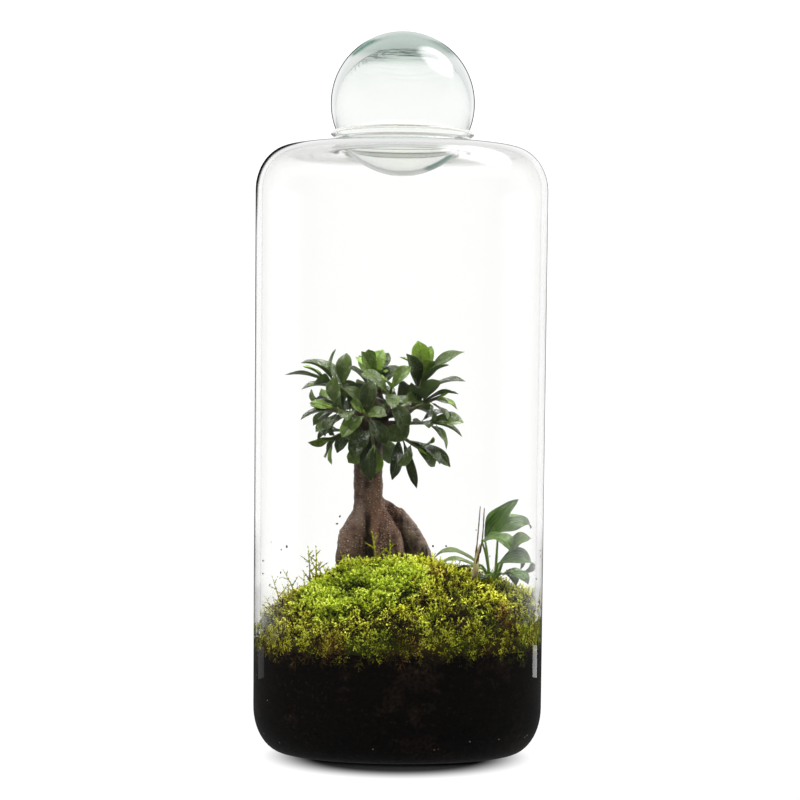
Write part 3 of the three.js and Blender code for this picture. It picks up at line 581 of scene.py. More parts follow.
ball_points[:, 2] += 0.25 * crown * lumps(ball_points * (0.6, 0.6, 1), 9, 4)
to_front = 0.08 + 0.92 * eased(-ball_y, -10, 4)
seen_height = ball_z - 0.11 * ball_y  # level in the picture, which looks up a little
crown_ring = between(ball_z, 479, 484, 489, 493) * (1 - 0.45 * eased(ball_x, -10, 20))
low_streak = between(ball_z, 402, 405, 412, 417) * eased(ball_x, 10, 17)
gathered = np.maximum(1.5 * crown_ring, 2.6 * low_streak)
for spot, strength in WEDGES:
    from_spot = np.linalg.norm(ball_points - spot, axis=1)
    gathered = np.maximum(gathered, strength * (1 - eased(from_spot, 2.5, 8)))
in_neck = 1 - 0.8 * (1 - eased(ball_z, 418, 432))
top = 0.8 * (1 - inner) * eased(ball_z, 487, 493)
low_inside = 0.85 * inner * (1 - eased(ball_z, 468, 480))
ball_numbers = {
    "painted_outline": in_neck * (1 - top) * (1 - low_inside),
    "corded": inner * to_front * between(ball_z, 472.5, 475, 490.5, 491.3),
    "gathered": (1 - inner) * gathered,
    "crown": (1 - inner) * eased(seen_height - 5 * eased(ball_y, -5, 20), 479, 486),
    "thin": np.ones(len(ball_points)),
}
ball = place("ball_lid", ball_points, ball_faces, [ball_glass], "ball_glass", ["glass_ball"], ball_numbers)
clear_of_shadows(ball)
print("the crown is", BALL_Z + BALL_RADIUS - HOLLOW_TOP, "mm thick")

# %% [markdown]
# ## The soil
# Potting soil pressed against glass is almost black, with crumbs of a few millimetres, air gaps
# between them and patches that dried to brown. Damp soil clings to the glass with no air
# between, and that is why it seems to fill the jar right out to its outline: nothing mirrors
# it away at the inner wall. The CAD leaves a gap of 0.4 mm there. The section here is turned a
# hair wider, so that it touches, and its grains are colour and bump.

# %% Fill in the soil
SOIL_EDGE = 73
SOIL_BEND = (56, 99)
SOIL_TOP = 110
CLING = 0.3  # how far what is wet reaches into the glass, so that no air is left between
FILL_GAP = 0.42
TOUCH = FILL_GAP + CLING


def fill_radius(z):
    """How wide the filling may be at a height inside the jar."""
    rise = (np.asarray(z, float) - CORNER_Z) / (SHOULDER_Z - CORNER_Z)
    return CORNER_R + CORNER_WIDE + 2 * rise - FILL_GAP


soil_side = np.linspace(CORNER_Z, SOIL_EDGE, 40)[1:]
soil_section = np.concatenate(
    [
        [(0, 7.2), (40, 7.0)],
        arc(CORNER_R, CORNER_Z, CORNER_WIDE + CLING, CORNER_HIGH + CLING, -90, 0, 22),
        np.stack([fill_radius(soil_side) + TOUCH, soil_side], -1),
        [SOIL_BEND, (0, SOIL_TOP)],
    ]
)
soil_points, soil_faces = turned(soil_section, 300)
outwards = np.hypot(soil_points[:, 0], soil_points[:, 1])
crumbly = eased(outwards, 70, 90) * (soil_points[:, 2] < SOIL_EDGE - 0.2)
relief = 0.12 * np.abs(lumps(soil_points, 4.5)) + 0.08 * np.abs(lumps(soil_points, 2.1, 1))
soil_points[:, :2] *= 1 - (crumbly * relief / np.maximum(outwards, 1))[:, None]

DAMP_STOPS = [(0.3, (0.0006, 0.0005, 0.0004)), (0.62, (0.003, 0.002, 0.0015)), (0.8, (0.02, 0.013, 0.009))]
DRIED_STOPS = [(0.35, (0.003, 0.0015, 0.001)), (0.7, (0.050, 0.030, 0.021))]
earth = Recipe(bpy.data.materials, "damp_potting_soil")
grains = earth.noise(420, 5, earth.place())
dry_share = earth.ramp(earth.noise(34, 3, earth.place((1, 1, 1.4))), [(0.54, 0.0), (0.72, 0.6)])
crumbs = earth.mix(dry_share, earth.ramp(grains, DAMP_STOPS), earth.ramp(grains, DRIED_STOPS))
soil_shell = earth.shell(crumbs, 0.85, Specular_IOR_Level=0.08, Normal=earth.bump(grains, 0.0008))
soil_finish = earth.out(soil_shell)
place("soil_bed", soil_points, soil_faces, [soil_finish], "soil", ["potting_soil"])

# %% [markdown]
# ## Crumbs and grains
# A few white grains of perlite show at the bottom of the soil, and some crumbs of soil stick to
# the inside of the glass above the moss, where they fell when it was planted. Each is a small
# uneven stone: a subdivided octahedron whose points are pushed in and out.

# %% Scatter the crumbs
GLASS_INSIDE = 96.9


def stone(centre, size, seed):
    base = np.array([(1, 0, 0), (-1, 0, 0), (0, 1, 0), (0, -1, 0), (0, 0, 1), (0, 0, -1)], float)
    faces = [(0, 2, 4), (2, 1, 4), (1, 3, 4), (3, 0, 4), (2, 0, 5), (1, 2, 5), (3, 1, 5), (0, 3, 5)]
    points, cut, found = list(base), [], {}
    for a, b, c in faces:
        middle = []
        for pair in ((a, b), (b, c), (c, a)):
            key = tuple(sorted(pair))
            if key not in found:
                found[key] = len(points)
                points.append(unit(points[pair[0]] + points[pair[1]]))
            middle.append(found[key])
        p, q, r = middle
        cut += [(a, p, r), (p, b, q), (r, q, c), (p, q, r)]
    points = np.array(points)
    points *= 0.75 + 0.5 * chance(np.arange(len(points)) + 31 * seed)[:, None]
    stretch = 0.7 + 0.6 * chance(np.array([1, 2, 3]) + 7 * seed)
    return points * stretch * size + centre, np.array(cut)


def gather(parts):
    """Several meshes of triangles as one."""
    points, faces, start = [], [], 0
    for part, triangles in parts:
        points.append(part)
        faces.append(np.asarray(triangles) + start)
        start += len(part)
    return np.concatenate(points), np.concatenate(faces)


# Where they lie: across the front, height, size. The rest are spread round the other sides.
ON_GLASS = [
    (-38.5, 165, 0.55), (-40.4, 160, 0.75), (22.4, 146, 0.6), (31, 146, 0.7), (50.7, 156.5, 0.5),
    (-90, 132.7, 0.9), (-90, 124, 0.8), (94.5, 141, 0.8), (94.8, 137, 0.6), (-85, 117, 0.7), (12, 139, 0.4),
    (60, 139, 0.5), (-60, 131, 0.5), (92, 122, 0.8),
]
PERLITE = [(-15.3, 12.2, 0.55), (24.4, 12, 0.6), (27, 12.4, 0.35), (47.6, 16.4, 0.6), (66.5, 16.8, 0.5)]

stuck = []
for n, (x, z, size) in enumerate(ON_GLASS):
    y = -math.sqrt(max((GLASS_INSIDE - 0.3) ** 2 - x * x, 1))
    stuck.append(stone((x, y + 0.3 * size, z), size, n))
for n in range(26):
    turn = math.radians(8 + 164 * float(chance(n + 60)))
    at = (GLASS_INSIDE - 0.6) * np.array([math.cos(turn), math.sin(turn)])
    height, size = 112 + 48 * float(chance(n + 90)) ** 2, 0.4 + 0.5 * float(chance(n + 120))
    stuck.append(stone((*at, height), size, n + 60))
crumb_points, crumb_faces = gather(stuck)
place("soil_crumbs", crumb_points, [crumb_faces], [soil_finish], "soil", smooth=False)


def soil_wall(z):
    """How wide the bed is at a height, down to its rounded corner."""
    if z > CORNER_Z:
        return float(fill_radius(z)) + TOUCH
    share = (CORNER_Z - z) / (CORNER_HIGH + CLING)
    return CORNER_R + (CORNER_WIDE + CLING) * math.sqrt(max(1 - share**2, 0))


pale = []
for n, (x, z, size) in enumerate(PERLITE):
    pale.append(stone((x, -math.sqrt((soil_wall(z) - 0.2) ** 2 - x * x), z), size, n + 200))
for n in range(40):
    turn, z = math.radians(-35 + 250 * float(chance(n + 300))), 11 + 55 * float(chance(n + 340)) ** 2.2
    reach, size = soil_wall(z) - 0.25, 0.3 + 0.4 * float(chance(n + 380))
    pale.append(stone((reach * math.cos(turn), reach * math.sin(turn), z), size, n + 200))
chalk = Recipe(bpy.data.materials, "perlite")
chalky = chalk.ramp(chalk.noise(900), [(0.3, (0.20, 0.18, 0.16)), (0.7, (0.55, 0.53, 0.50))])
chalk_finish = chalk.out(chalk.shell(chalky, 0.9))
perlite_points, perlite_faces = gather(pale)
place("perlite_grains", perlite_points, [perlite_faces], [chalk_finish], "soil", smooth=False)

# %% [markdown]
# ## The moss mat
# Under the green tips a moss carpet is a dark, springy mat that follows the soil. Its tone is
# darkened further as painted shade under the sprigs, and lifted where it meets the glass by a
# painted rim of light. It is a closed body here, a little lower than the tufts of the CAD, with its
# edge pressed to the glass, so that nothing shows through between the sprigs that grow on it.

# %% Lay the moss mat
MOSS_TOP = 126
MOSS_EDGE = 94


def moss_height(x, y):
    r = np.minimum(np.hypot(x, y) / MOSS_EDGE, 1)
    front = np.maximum(0, -y / MOSS_EDGE)
    fall = 35 + 6 * front * front - 6 * (x / MOSS_EDGE)
    swell = 1.6 * np.sin(0.11 * x + 1.3) * np.cos(0.13 * y - 0.4)
    return MOSS_TOP - fall * r**2.3 + swell


def flat_on(x, y):
    """The same places on level ground."""
    return np.stack([x, y, np.zeros_like(x)], -1)


def around(turns, reach, z):
    """Points round the axis of the jar."""
    return np.stack([reach * np.cos(turns), reach * np.sin(turns), z + 0 * turns], -1)


def mat_height(x, y):
    flat = flat_on(x, y)
    mound = 5 * np.exp(-(((x + 10) / 26) ** 2) - ((y + 25) / 9) ** 2) + 5.5 * eased(x, 35, 88)
    return moss_height(x, y) - 1.5 + mound + 3.0 * lumps(flat, 15, 5) + 1.6 * lumps(flat, 6, 6)


MAT_SIDES = 220
WET_MAT = 0.52  # the mat only just reaches into the glass, and the sprigs a little further
rings = np.concatenate([[0.01], np.linspace(2, MOSS_EDGE + 0.6, 64)])
turns = np.linspace(0, 2 * np.pi, MAT_SIDES, endpoint=False)
mat_x, mat_y = rings[:, None] * np.cos(turns), rings[:, None] * np.sin(turns)
mat_z = mat_height(mat_x, mat_y)
ragged = 2.6 * lumps(around(turns, MOSS_EDGE, 0), 4, 7)
skirt = []
for share in (0.3, 0.6, 0.85, 1.0):
    z = mat_z[-1] + (SOIL_EDGE - 0.6 + ragged - mat_z[-1]) * share
    skirt.append(around(turns, fill_radius(z) + WET_MAT, z))
for reach, z in ((93.6, 73.4), (56, 99.5), (0.01, 110.5)):
    skirt.append(around(turns, reach, z))
mat_rings = np.concatenate([np.stack([mat_x, mat_y, mat_z], -1), np.array(skirt)])
here, beside = lattice(len(mat_rings), MAT_SIDES)
mat_faces = np.stack([here, here + MAT_SIDES, beside + MAT_SIDES, beside], -1).reshape(-1, 4)
mat_points = mat_rings.reshape(-1, 3)


def moss_tone(points):
    """From 0, brown and dead, to 1, fresh lime: patches of colour, with painted shade low down by the glass and in
    hollows, and lighter towards the left and right sides.
    """
    x, y, z = np.moveaxis(np.asarray(points, float), -1, 0)
    tone = 0.77 + 0.20 * lumps(points, 17, 8) + 0.16 * lumps(points, 6, 9)
    # Painted shade: darker low down, and darker still in the hollows.
    depth = 0.38 + 0.62 * eased(z, 66, 84)
    shaded_hollows = eased(lumps(points, 9, 24), 0.28, 0.55)
    at_sides = 0.12 * eased(np.abs(x), 55, 85)
    return (tone + at_sides) * depth * (1 - 0.7 * shaded_hollows)


def moss_finish(name, stops, rust_colour, other_stops, other_share):
    """Moss by its tone. Patches of it lean to the other moss's colours, and rust is laid over."""
    recipe = Recipe(bpy.data.materials, name)
    drift = recipe.led(recipe.noise(650, 4, recipe.place()), 0.3, 0.7, -0.10, 0.10)
    patches = recipe.ramp(recipe.noise(45, 3, recipe.place()), [(0.46, 0.0), (0.60, other_share)])
    lightness = recipe.plus(recipe.number("tone"), drift)
    green = recipe.mix(patches, recipe.ramp(lightness, stops), recipe.ramp(lightness, other_stops))
    low, high = (tuple(share * part for part in rust_colour) for share in (0.12, 2.4))
    dead = recipe.ramp(lightness, [(0.0, low), (0.45, rust_colour), (1.0, high)])
    colour = recipe.mix(recipe.number("rust"), green, dead)
    blade_shell = recipe.shell(colour, 0.6, Specular_IOR_Level=0.08)
    lit_from_behind = recipe.node("BsdfTranslucent", {"Color": colour}).outputs[0]
    return recipe.out(recipe.either(0.2, blade_shell, lit_from_behind))


FEATHER_STOPS = [
    (0.0, (0.014, 0.008, 0.004)),
    (0.22, (0.045, 0.032, 0.008)),
    (0.45, (0.19, 0.185, 0.008)),
    (0.7, (0.62, 0.64, 0.018)),
    (1.0, (0.88, 0.88, 0.12)),
]
LIME_STOPS = [
    (0.0, (0.012, 0.016, 0.003)),
    (0.25, (0.045, 0.062, 0.005)),
    (0.5, (0.18, 0.25, 0.010)),
    (0.75, (0.46, 0.60, 0.020)),
    (1.0, (0.75, 0.82, 0.14)),
]
feather_green = moss_finish("feather_moss_green", FEATHER_STOPS, (0.16, 0.06, 0.02), LIME_STOPS, 0.6)
lime_green = moss_finish("spikemoss_lime", LIME_STOPS, (0.2, 0.1, 0.02), FEATHER_STOPS, 0.15)


def rust_at(points):
    """Reddish brown patches: one large, front right, and a few small ones."""
    gap = np.linalg.norm((points - np.array([70, -60, 94])) / (7, 14, 6), axis=-1)
    left = 0.22 * eased(-points[:, 0], 50, 72)
    small = 0.7 * eased(lumps(points, 11, 10), 0.34, 0.62)
    return np.maximum(np.maximum(1 - eased(gap, 0.5, 1.2), small), left)


# The mat's tone: darkened to about a fifth, partly the dead lower moss and partly painted shade under the sprigs,
# with a painted rim of light where it meets the glass.
painted_lit_rim = 0.25 * eased(np.hypot(mat_points[:, 0], mat_points[:, 1]), 91, 94.5) * eased(mat_points[:, 2], 75, 84)
place(
    "moss_mat",
    mat_points,
    facing_out(mat_points, [mat_faces]),
    [feather_green],
    "moss",
    numbers={"tone": moss_tone(mat_points) * (0.22 + painted_lit_rim) - 0.02, "rust": 0.3 * rust_at(mat_points)},
)

# %% [markdown]
# ## Feather moss
# One sprig of feather moss is a midrib with a row of leaflets on each side, like a tiny fern.
# Hair curves would be the quick way, but the export drops them, and their outline is round.
# So one sprig is drawn as a few triangles, and thousands of bent and turned copies of it are
# written into real meshes. They stand along the slope, lean every way, grow longer in tufts,
# and flatten where they meet the glass. One band of them hangs down against the glass. The moss
# is three pieces, front, left and right, because a piece may have 200,000 triangles at most.

# %% Draw one sprig and bend copies of it
def feather(half_width, pairs, laterals):
    """A sprig one unit long that branches: narrow shoots with a fringe of leaflets on both sides."""
    points, faces = [], []

    def shoot(root, ahead, length, half, count, light):
        side = np.array([ahead[1], -ahead[0], 0])
        start = len(points)
        for share, wide, bright in ((0, 0.35, 0.0), (0.45, 0.45, 0.4), (1, 0.0, 1.0)):
            middle = root + ahead * length * share
            for sign in (-1, 1):
                points.append((*(middle + side * sign * half * wide), light[0] + (light[1] - light[0]) * bright))
        faces.extend([(start + k, start + k + 1, start + k + 2) for k in (0, 1, 2)])
        for i in range(count):
            share = (i + 0.3) / count
            for sign in (-1, 1):
                foot = root + ahead * length * share
                reach = half * (1.15 - 0.75 * share)
                tip = foot + side * sign * reach + ahead * (0.9 * reach) - np.array([0, 0, 0.35 * reach])
                near, bright = len(points), light[0] + (light[1] - light[0]) * (share + 0.1)
                wide = ahead * 0.34 * length / count
                points.extend([(*(foot - wide), bright), (*(foot + wide), bright), (*tip, bright + 0.12)])
                faces.append((near, near + 1, near + 2))

    middle, ahead = np.zeros(3), np.array([0.0, 1.0, 0.0])
    shoot(middle, ahead, 1.0, half_width, pairs, (0.0, 1.0))
    for n, (share, length) in enumerate(laterals):
        sign = -1 if n % 2 else 1
        turn = math.radians(38 + 9 * (n % 3))
        out = np.array([sign * math.sin(turn), math.cos(turn), 0.06])
        light = (share * 0.6, 0.45 + 0.55 * share)
        shoot(ahead * share, out, length, half_width * 0.8, max(3, round(pairs * length)), light)
    return np.array(points, float), np.array(faces)


def bent_copies(frond, roots, aims, backs, lengths, arches):
    """Copies of a frond in one mesh. Each grows from its root along aim and bends away from back."""
    shape, faces = frond
    side = np.cross(aims, backs)
    across, along, up = (shape[:, n][None, :, None] for n in range(3))
    bend = arches[:, None, None] * along
    reach = 1 / arches[:, None, None]
    aims, backs, side = aims[:, None, :], backs[:, None, :], side[:, None, :]
    spine = aims * np.sin(bend) * reach - backs * (1 - np.cos(bend)) * reach
    lift = backs * np.cos(bend) + aims * np.sin(bend)
    points = roots[:, None, :] + lengths[:, None, None] * (spine + side * across + lift * up)
    starts = np.arange(len(roots))[:, None, None] * len(shape)
    return points.reshape(-1, 3), (faces[None] + starts).reshape(-1, 3)


def held_in(points, limit):
    """What would reach further out than the limit, drawn in to it."""
    reach = np.hypot(points[:, 0], points[:, 1])
    points[:, :2] *= np.minimum(1, limit / np.maximum(reach, 1e-6))[:, None]
    return points


def pressed(points):
    """What would reach into the glass lies flat against it."""
    limit = fill_radius(points[:, 2]) + TOUCH - 0.04 - 0.1 * chance(np.arange(len(points)))
    limit += 0.08 * (points[:, 2] < SOIL_EDGE + 1)  # strands that hang before the soil
    return held_in(points, limit)


def slope_normal(x, y):
    step = 1.5
    rise_x = (moss_height(x + step, y) - moss_height(x - step, y)) / (2 * step)
    rise_y = (moss_height(x, y + step) - moss_height(x, y - step)) / (2 * step)
    return unit(np.stack([-rise_x, -rise_y, np.ones_like(x)], -1))


def leaning(normals, spread):
    """Directions round the normals, more or less spread, and the faces of what grows along them."""
    aims = unit(normals + spread[:, None] * unit(draw.normal(size=normals.shape)))
    backs = draw.normal(size=normals.shape) + 0.8 * normals
    backs -= aims * np.sum(aims * backs, -1, keepdims=True)
    return aims, unit(backs)


PATCH = {"x": -24, "y": -41, "wide": 38, "deep": 31}


def in_patch(x, y, margin=0.0):
    """How far inside the spikemoss patch a place is, with a ragged border."""
    edge = np.hypot((x - PATCH["x"]) / PATCH["wide"], (y - PATCH["y"]) / PATCH["deep"])
    return edge + 0.24 * lumps(flat_on(x, y), 16, 11) + 0.22 * (chance(37 * x + 91 * y) - 0.5) < 1 + margin


def on_disc(count, reach):
    turn = draw.random(count) * 2 * np.pi
    far = reach * np.sqrt(draw.random(count))
    return far * np.cos(turn), far * np.sin(turn)


SPRIG = feather(0.10, 6, [(0.08, 0.56), (0.22, 0.60), (0.38, 0.50), (0.56, 0.36)])
FEATHER_SPRIGS = 5600


def feather_sprigs(x, y):
    """Sprigs of feather moss at these places: their roots, aims, faces, lengths and arches."""
    tuft = lumps(flat_on(x, y), 10, 12)
    roots = np.stack([x, y, mat_height(x, y) - 3], -1)
    spread = 0.45 + 0.7 * draw.random(len(x)) - 0.2 * tuft
    aims, backs = leaning(slope_normal(x, y), spread)
    lengths = 9.0 + 3.0 * tuft + 9.0 * draw.random(len(x)) ** 2.5
    arches = 0.3 + 1.1 * draw.random(len(x))
    return roots, aims, backs, lengths, arches


def with_tone(frond, made, base, roots):
    """How light and how rusty each point is: lighter near a tip, partly the fresh colour of the tips and partly
    painted light, and painted shade low down by the glass.
    """
    tips = np.tile(frond[0][:, 3], len(base))
    tone = np.repeat(base, len(frond[0])) * (0.06 + 0.94 * eased(tips, 0.1, 0.85)) + 0.3 * (tips - 0.6)
    tone *= 0.3 + 0.7 * eased(made[0][:, 2], 61, 79)
    return {"tone": np.clip(tone, 0, 1), "rust": np.repeat(rust_at(roots), len(frond[0])) * (1 - 0.4 * tips)}


x, y = on_disc(FEATHER_SPRIGS, MOSS_EDGE)
keep = ~in_patch(x, y, -0.12)
field = feather_sprigs(x[keep], y[keep])

# A band that hangs down against the glass.
BAND = 2000
turn = draw.random(BAND) * 2 * np.pi
edge_height = moss_height(MOSS_EDGE * np.cos(turn), MOSS_EDGE * np.sin(turn))
band_z = SOIL_EDGE - 5 + (edge_height + 5 - SOIL_EDGE) * draw.random(BAND)
outward = around(turn, 1, 0)
level = np.stack([-np.sin(turn), np.cos(turn), 0 * turn], -1)
lean = draw.normal(size=(BAND, 2))
band_aims = unit(
    0.5 * outward + level * lean[:, :1] + np.array([0, 0, 0.55]) + np.array([0, 0, 0.9]) * lean[:, 1:]
)
band_backs = unit(outward - band_aims * np.sum(band_aims * outward, -1, keepdims=True))
band_lengths, band_arches = 6.5 + 5 * draw.random(BAND), 0.3 + 0.5 * draw.random(BAND)
band = (around(turn, 93.9, band_z), band_aims, band_backs, band_lengths, band_arches)

# Upright sprigs before the bulbs of the fig, which hide where they run into the moss.
AT_FIG = 150
foot_x, foot_y = -46 + 74 * draw.random(AT_FIG), -27 + 10 * draw.random(AT_FIG)
at_fig = feather_sprigs(foot_x, foot_y)
at_fig[1][:] = unit(at_fig[1] * (1, 0.6, 1) + (0, -0.1, 1.0))
at_fig[2][:] = unit(at_fig[2] - at_fig[1] * np.sum(at_fig[1] * at_fig[2], -1, keepdims=True))
at_fig[3][:] = 12 + 8 * draw.random(AT_FIG)

sprigs = [np.concatenate(group) for group in zip(field, band, at_fig)]
roots = sprigs[0]
# Painted shade: some sprigs, more of them low down, are darkened as if they stood in shadow.
painted_shade = np.where(draw.random(len(roots)) < 0.10 + 0.22 * eased(-roots[:, 2], -96, -76), 0.22, 1.08)
base = np.clip(painted_shade * moss_tone(roots) + 0.5 * (draw.random(len(roots)) - 0.26), 0, 1)
front, left = roots[:, 1] < -12, roots[:, 0] < 0
for side, chosen in (("front", front), ("left", ~front & left), ("right", ~front & ~left)):
    part = [values[chosen] for values in sprigs]
    made = bent_copies(SPRIG, *part)
    stands = ["moss_carpet"] if side == "front" else []
    numbers = with_tone(SPRIG, made, base[chosen], part[0])
    points = pressed(made[0])
    place(f"feather_moss_{side}", points, [made[1]], [feather_green], "moss", stands, numbers, smooth=False)
print(len(roots), "sprigs of feather moss")

# %% [markdown]
# ## Stray stems
# A few thin stems stand up out of the carpet on the left, where the light reaches them from
# behind, and before the trunk. They are slimmer copies of the same sprig. One bare dark twig in
# front is a thin tube along a smooth line.

# %% Stand the stray stems
def smooth_line(stations, steps):
    """A curve through stations of any width, by Catmull and Rom's rule."""
    given = np.asarray(stations, float)
    ends = np.concatenate([2 * given[:1] - given[1:2], given, 2 * given[-1:] - given[-2:-1]])
    line = []
    for i in range(len(given) - 1):
        a, b, c, d = ends[i : i + 4]
        square, cube = 2 * a - 5 * b + 4 * c - d, 3 * b - a - 3 * c + d
        for t in np.linspace(0, 1, steps, endpoint=False):
            line.append(0.5 * (2 * b + (c - a) * t + square * t**2 + cube * t**3))
    return np.array(line + [given[-1]])


def tube(stations, sides, steps=5):
    """A closed tube along x, y, z and radius, as points and triangles."""
    line = smooth_line(stations, steps)
    centres, radii = line[:, :3], np.maximum(line[:, 3], 0.15)
    ahead = unit(np.gradient(centres, axis=0))
    side = np.array([0.31, 0.87, 0.38])
    angles = np.linspace(0, 2 * np.pi, sides, endpoint=False)
    points = []
    for centre, along, radius in zip(centres, ahead, radii):
        side = square_to(along, side)
        other = np.cross(along, side)
        points.append(centre + radius * (np.cos(angles)[:, None] * side + np.sin(angles)[:, None] * other))
    points += [centres[:1] - ahead[:1] * radii[0] * 0.5, centres[-1:] + ahead[-1:] * radii[-1] * 0.5]
    here, beside = (corners.ravel() for corners in lattice(len(centres), sides))
    faces = [np.stack([here, beside, beside + sides], -1), np.stack([here, beside + sides, here + sides], -1)]
    return np.concatenate(points), np.concatenate([*faces, caps(len(centres), sides)])


STRAY_SPRIG = feather(0.030, 10, [(0.25, 0.26), (0.42, 0.32), (0.60, 0.22), (0.76, 0.14)])
STRAYS = [  # where it stands, how high it reaches and how far it leans to the right
    (-80, -8, 25, -4), (-76, -14, 19, 4), (-84, -20, 17, -3), (-70, 2, 24, -7), (-66, -12, 20, 5),
    (-62, 4, 31, 3), (-58, -6, 30, 5), (-54, 8, 24, -6), (-50, -20, 21, -4), (-72, -30, 17, -5),
    (-34, -26, 19, -4), (-14, -30, 32, -1), (-7, -31, 27, 5), (12, -32, 19, 4), (22, -30, 17, -3),
    (36, -32, 15, 4), (24, 30, 22, -5), (80, -30, 14, 3), (-88, -26, 13, 4), (-40, -24, 17, 6),
]
stray_x, stray_y, rises, leans = np.array(STRAYS, float).T
stray_roots = np.stack([stray_x, stray_y, moss_height(stray_x, stray_y) - 4], -1)
stems = np.stack([leans, 0 * leans - 2, 1.12 * rises + 4], -1)
stem_backs = np.cross(np.cross(stems, (0.3, 1, 0.2)), stems)
arches = 0.3 + 0.6 * chance(stray_x)
made = bent_copies(STRAY_SPRIG, stray_roots, unit(stems), unit(stem_backs), np.linalg.norm(stems, axis=1), arches)
light = 0.40 + 0.25 * np.tile(STRAY_SPRIG[0][:, 3], len(STRAYS))
bare = tube([(4.5, -87, 94, 0.4), (7, -86.5, 98.5, 0.35), (9.5, -84.5, 104, 0.2)], 6)
points, faces = gather([made, bare])
light = np.concatenate([light, np.zeros(len(bare[0]))])
place("stray_stems", points, [faces], [feather_green], "moss", numbers={"tone": light}, smooth=False)

# %% [markdown]
# ## Spikemoss
# The bright patch in front of the fig is spikemoss. Its fronds are larger, flatter and branch
# twice, and their tips are almost yellow. They are made as the feather moss was, from a frond
# whose leaflets carry leaflets.

# %% Grow the spikemoss
LIME_FROND = feather(0.14, 6, [(0.12, 0.56), (0.24, 0.58), (0.38, 0.5), (0.52, 0.4), (0.66, 0.3)])
LIME_FRONDS = 1900

x, y = on_disc(LIME_FRONDS * 9, MOSS_EDGE)
chosen = np.flatnonzero(in_patch(x, y))[:LIME_FRONDS]
x, y = x[chosen], y[chosen]
tuft = lumps(flat_on(x, y), 12, 13)
roots = np.stack([x, y, mat_height(x, y) - 3], -1)
aims, backs = leaning(slope_normal(x, y), 0.5 + 0.6 * draw.random(len(x)))
lengths = 10 + 2.5 * tuft + 8 * draw.random(len(x)) ** 2
made = bent_copies(LIME_FROND, roots, aims, backs, lengths, 0.5 + 1.1 * draw.random(len(x)))
# Painted shade along the front rim of the patch, under the overhanging fronds.
painted_front_shade = 0.3 * eased(-y, 60, 74)
base = np.clip(moss_tone(roots) + 0.15 - painted_front_shade + 0.16 * tuft + 0.34 * (draw.random(len(x)) - 0.4), 0, 1)
numbers = with_tone(LIME_FROND, made, base, roots)
numbers["rust"] *= 0.25
points = pressed(made[0])
place("spikemoss_fronds", points, [made[1]], [lime_green], "spikemoss", ["spikemoss_patch"], numbers, smooth=False)
print(len(x), "fronds of spikemoss")

# %% [markdown]
# ## The wood of the fig
# A ginseng fig is grown for its swollen roots, which stand above the ground and grow together
# into the trunk. Metaballs would give such joints, but not a measured radius at each height. So
# each limb is a tube along the stations that the CAD uses, made smooth between them. A voxel
# remesh then melts all the tubes into one skin, and smoothing fills the forks as real bark does.

# %% Melt the roots, the trunk and the twigs together
FIG = np.array([-21.8, 4.0, 0.0])
LIMBS = {
    "trunk": [(1, 2, 96, 13), (1, 1, 140, 14), (0, 0, 156, 13), (0, 0, 168, 10.6), (0, 0, 186, 9.9)]
    + [(0, 0, 212, 10.2), (1, 0, 240, 9.8), (2, 0, 252, 7)],
    "left_bulb": [(-8, 2, 88, 8), (-10, 0, 114, 11.6), (-10, -3, 134, 12.2), (-9, -4, 147, 11.6)]
    + [(-5.5, -2, 159, 8.6), (-2, -1, 169, 7)],
    "front_bulb": [(14, -8, 88, 7.5), (14.5, -9, 112, 11.6), (14, -8, 134, 12.8), (12, -6, 147, 12)]
    + [(7, -3, 159, 9.4), (3, -1, 171, 6.8)],
    "right_root": [(50, 6, 88, 5.5), (44, 6, 116, 6.6), (37.5, 5, 134, 7.4), (32.5, 4, 146, 6.9)]
    + [(26, 4, 157, 6.4), (17, 3, 165, 6), (8, 2, 171, 5)],
    "web": [(24, 9, 100, 5), (24, 9, 125, 6), (23, 8, 140, 6), (20, 6, 152, 5)],
    "back_root": [(4, 28, 88, 6.5), (4, 24, 112, 9), (3, 18, 134, 10.2), (1, 9, 152, 8.8), (0, 2, 168, 6.8)],
}
VOXEL = 1.0


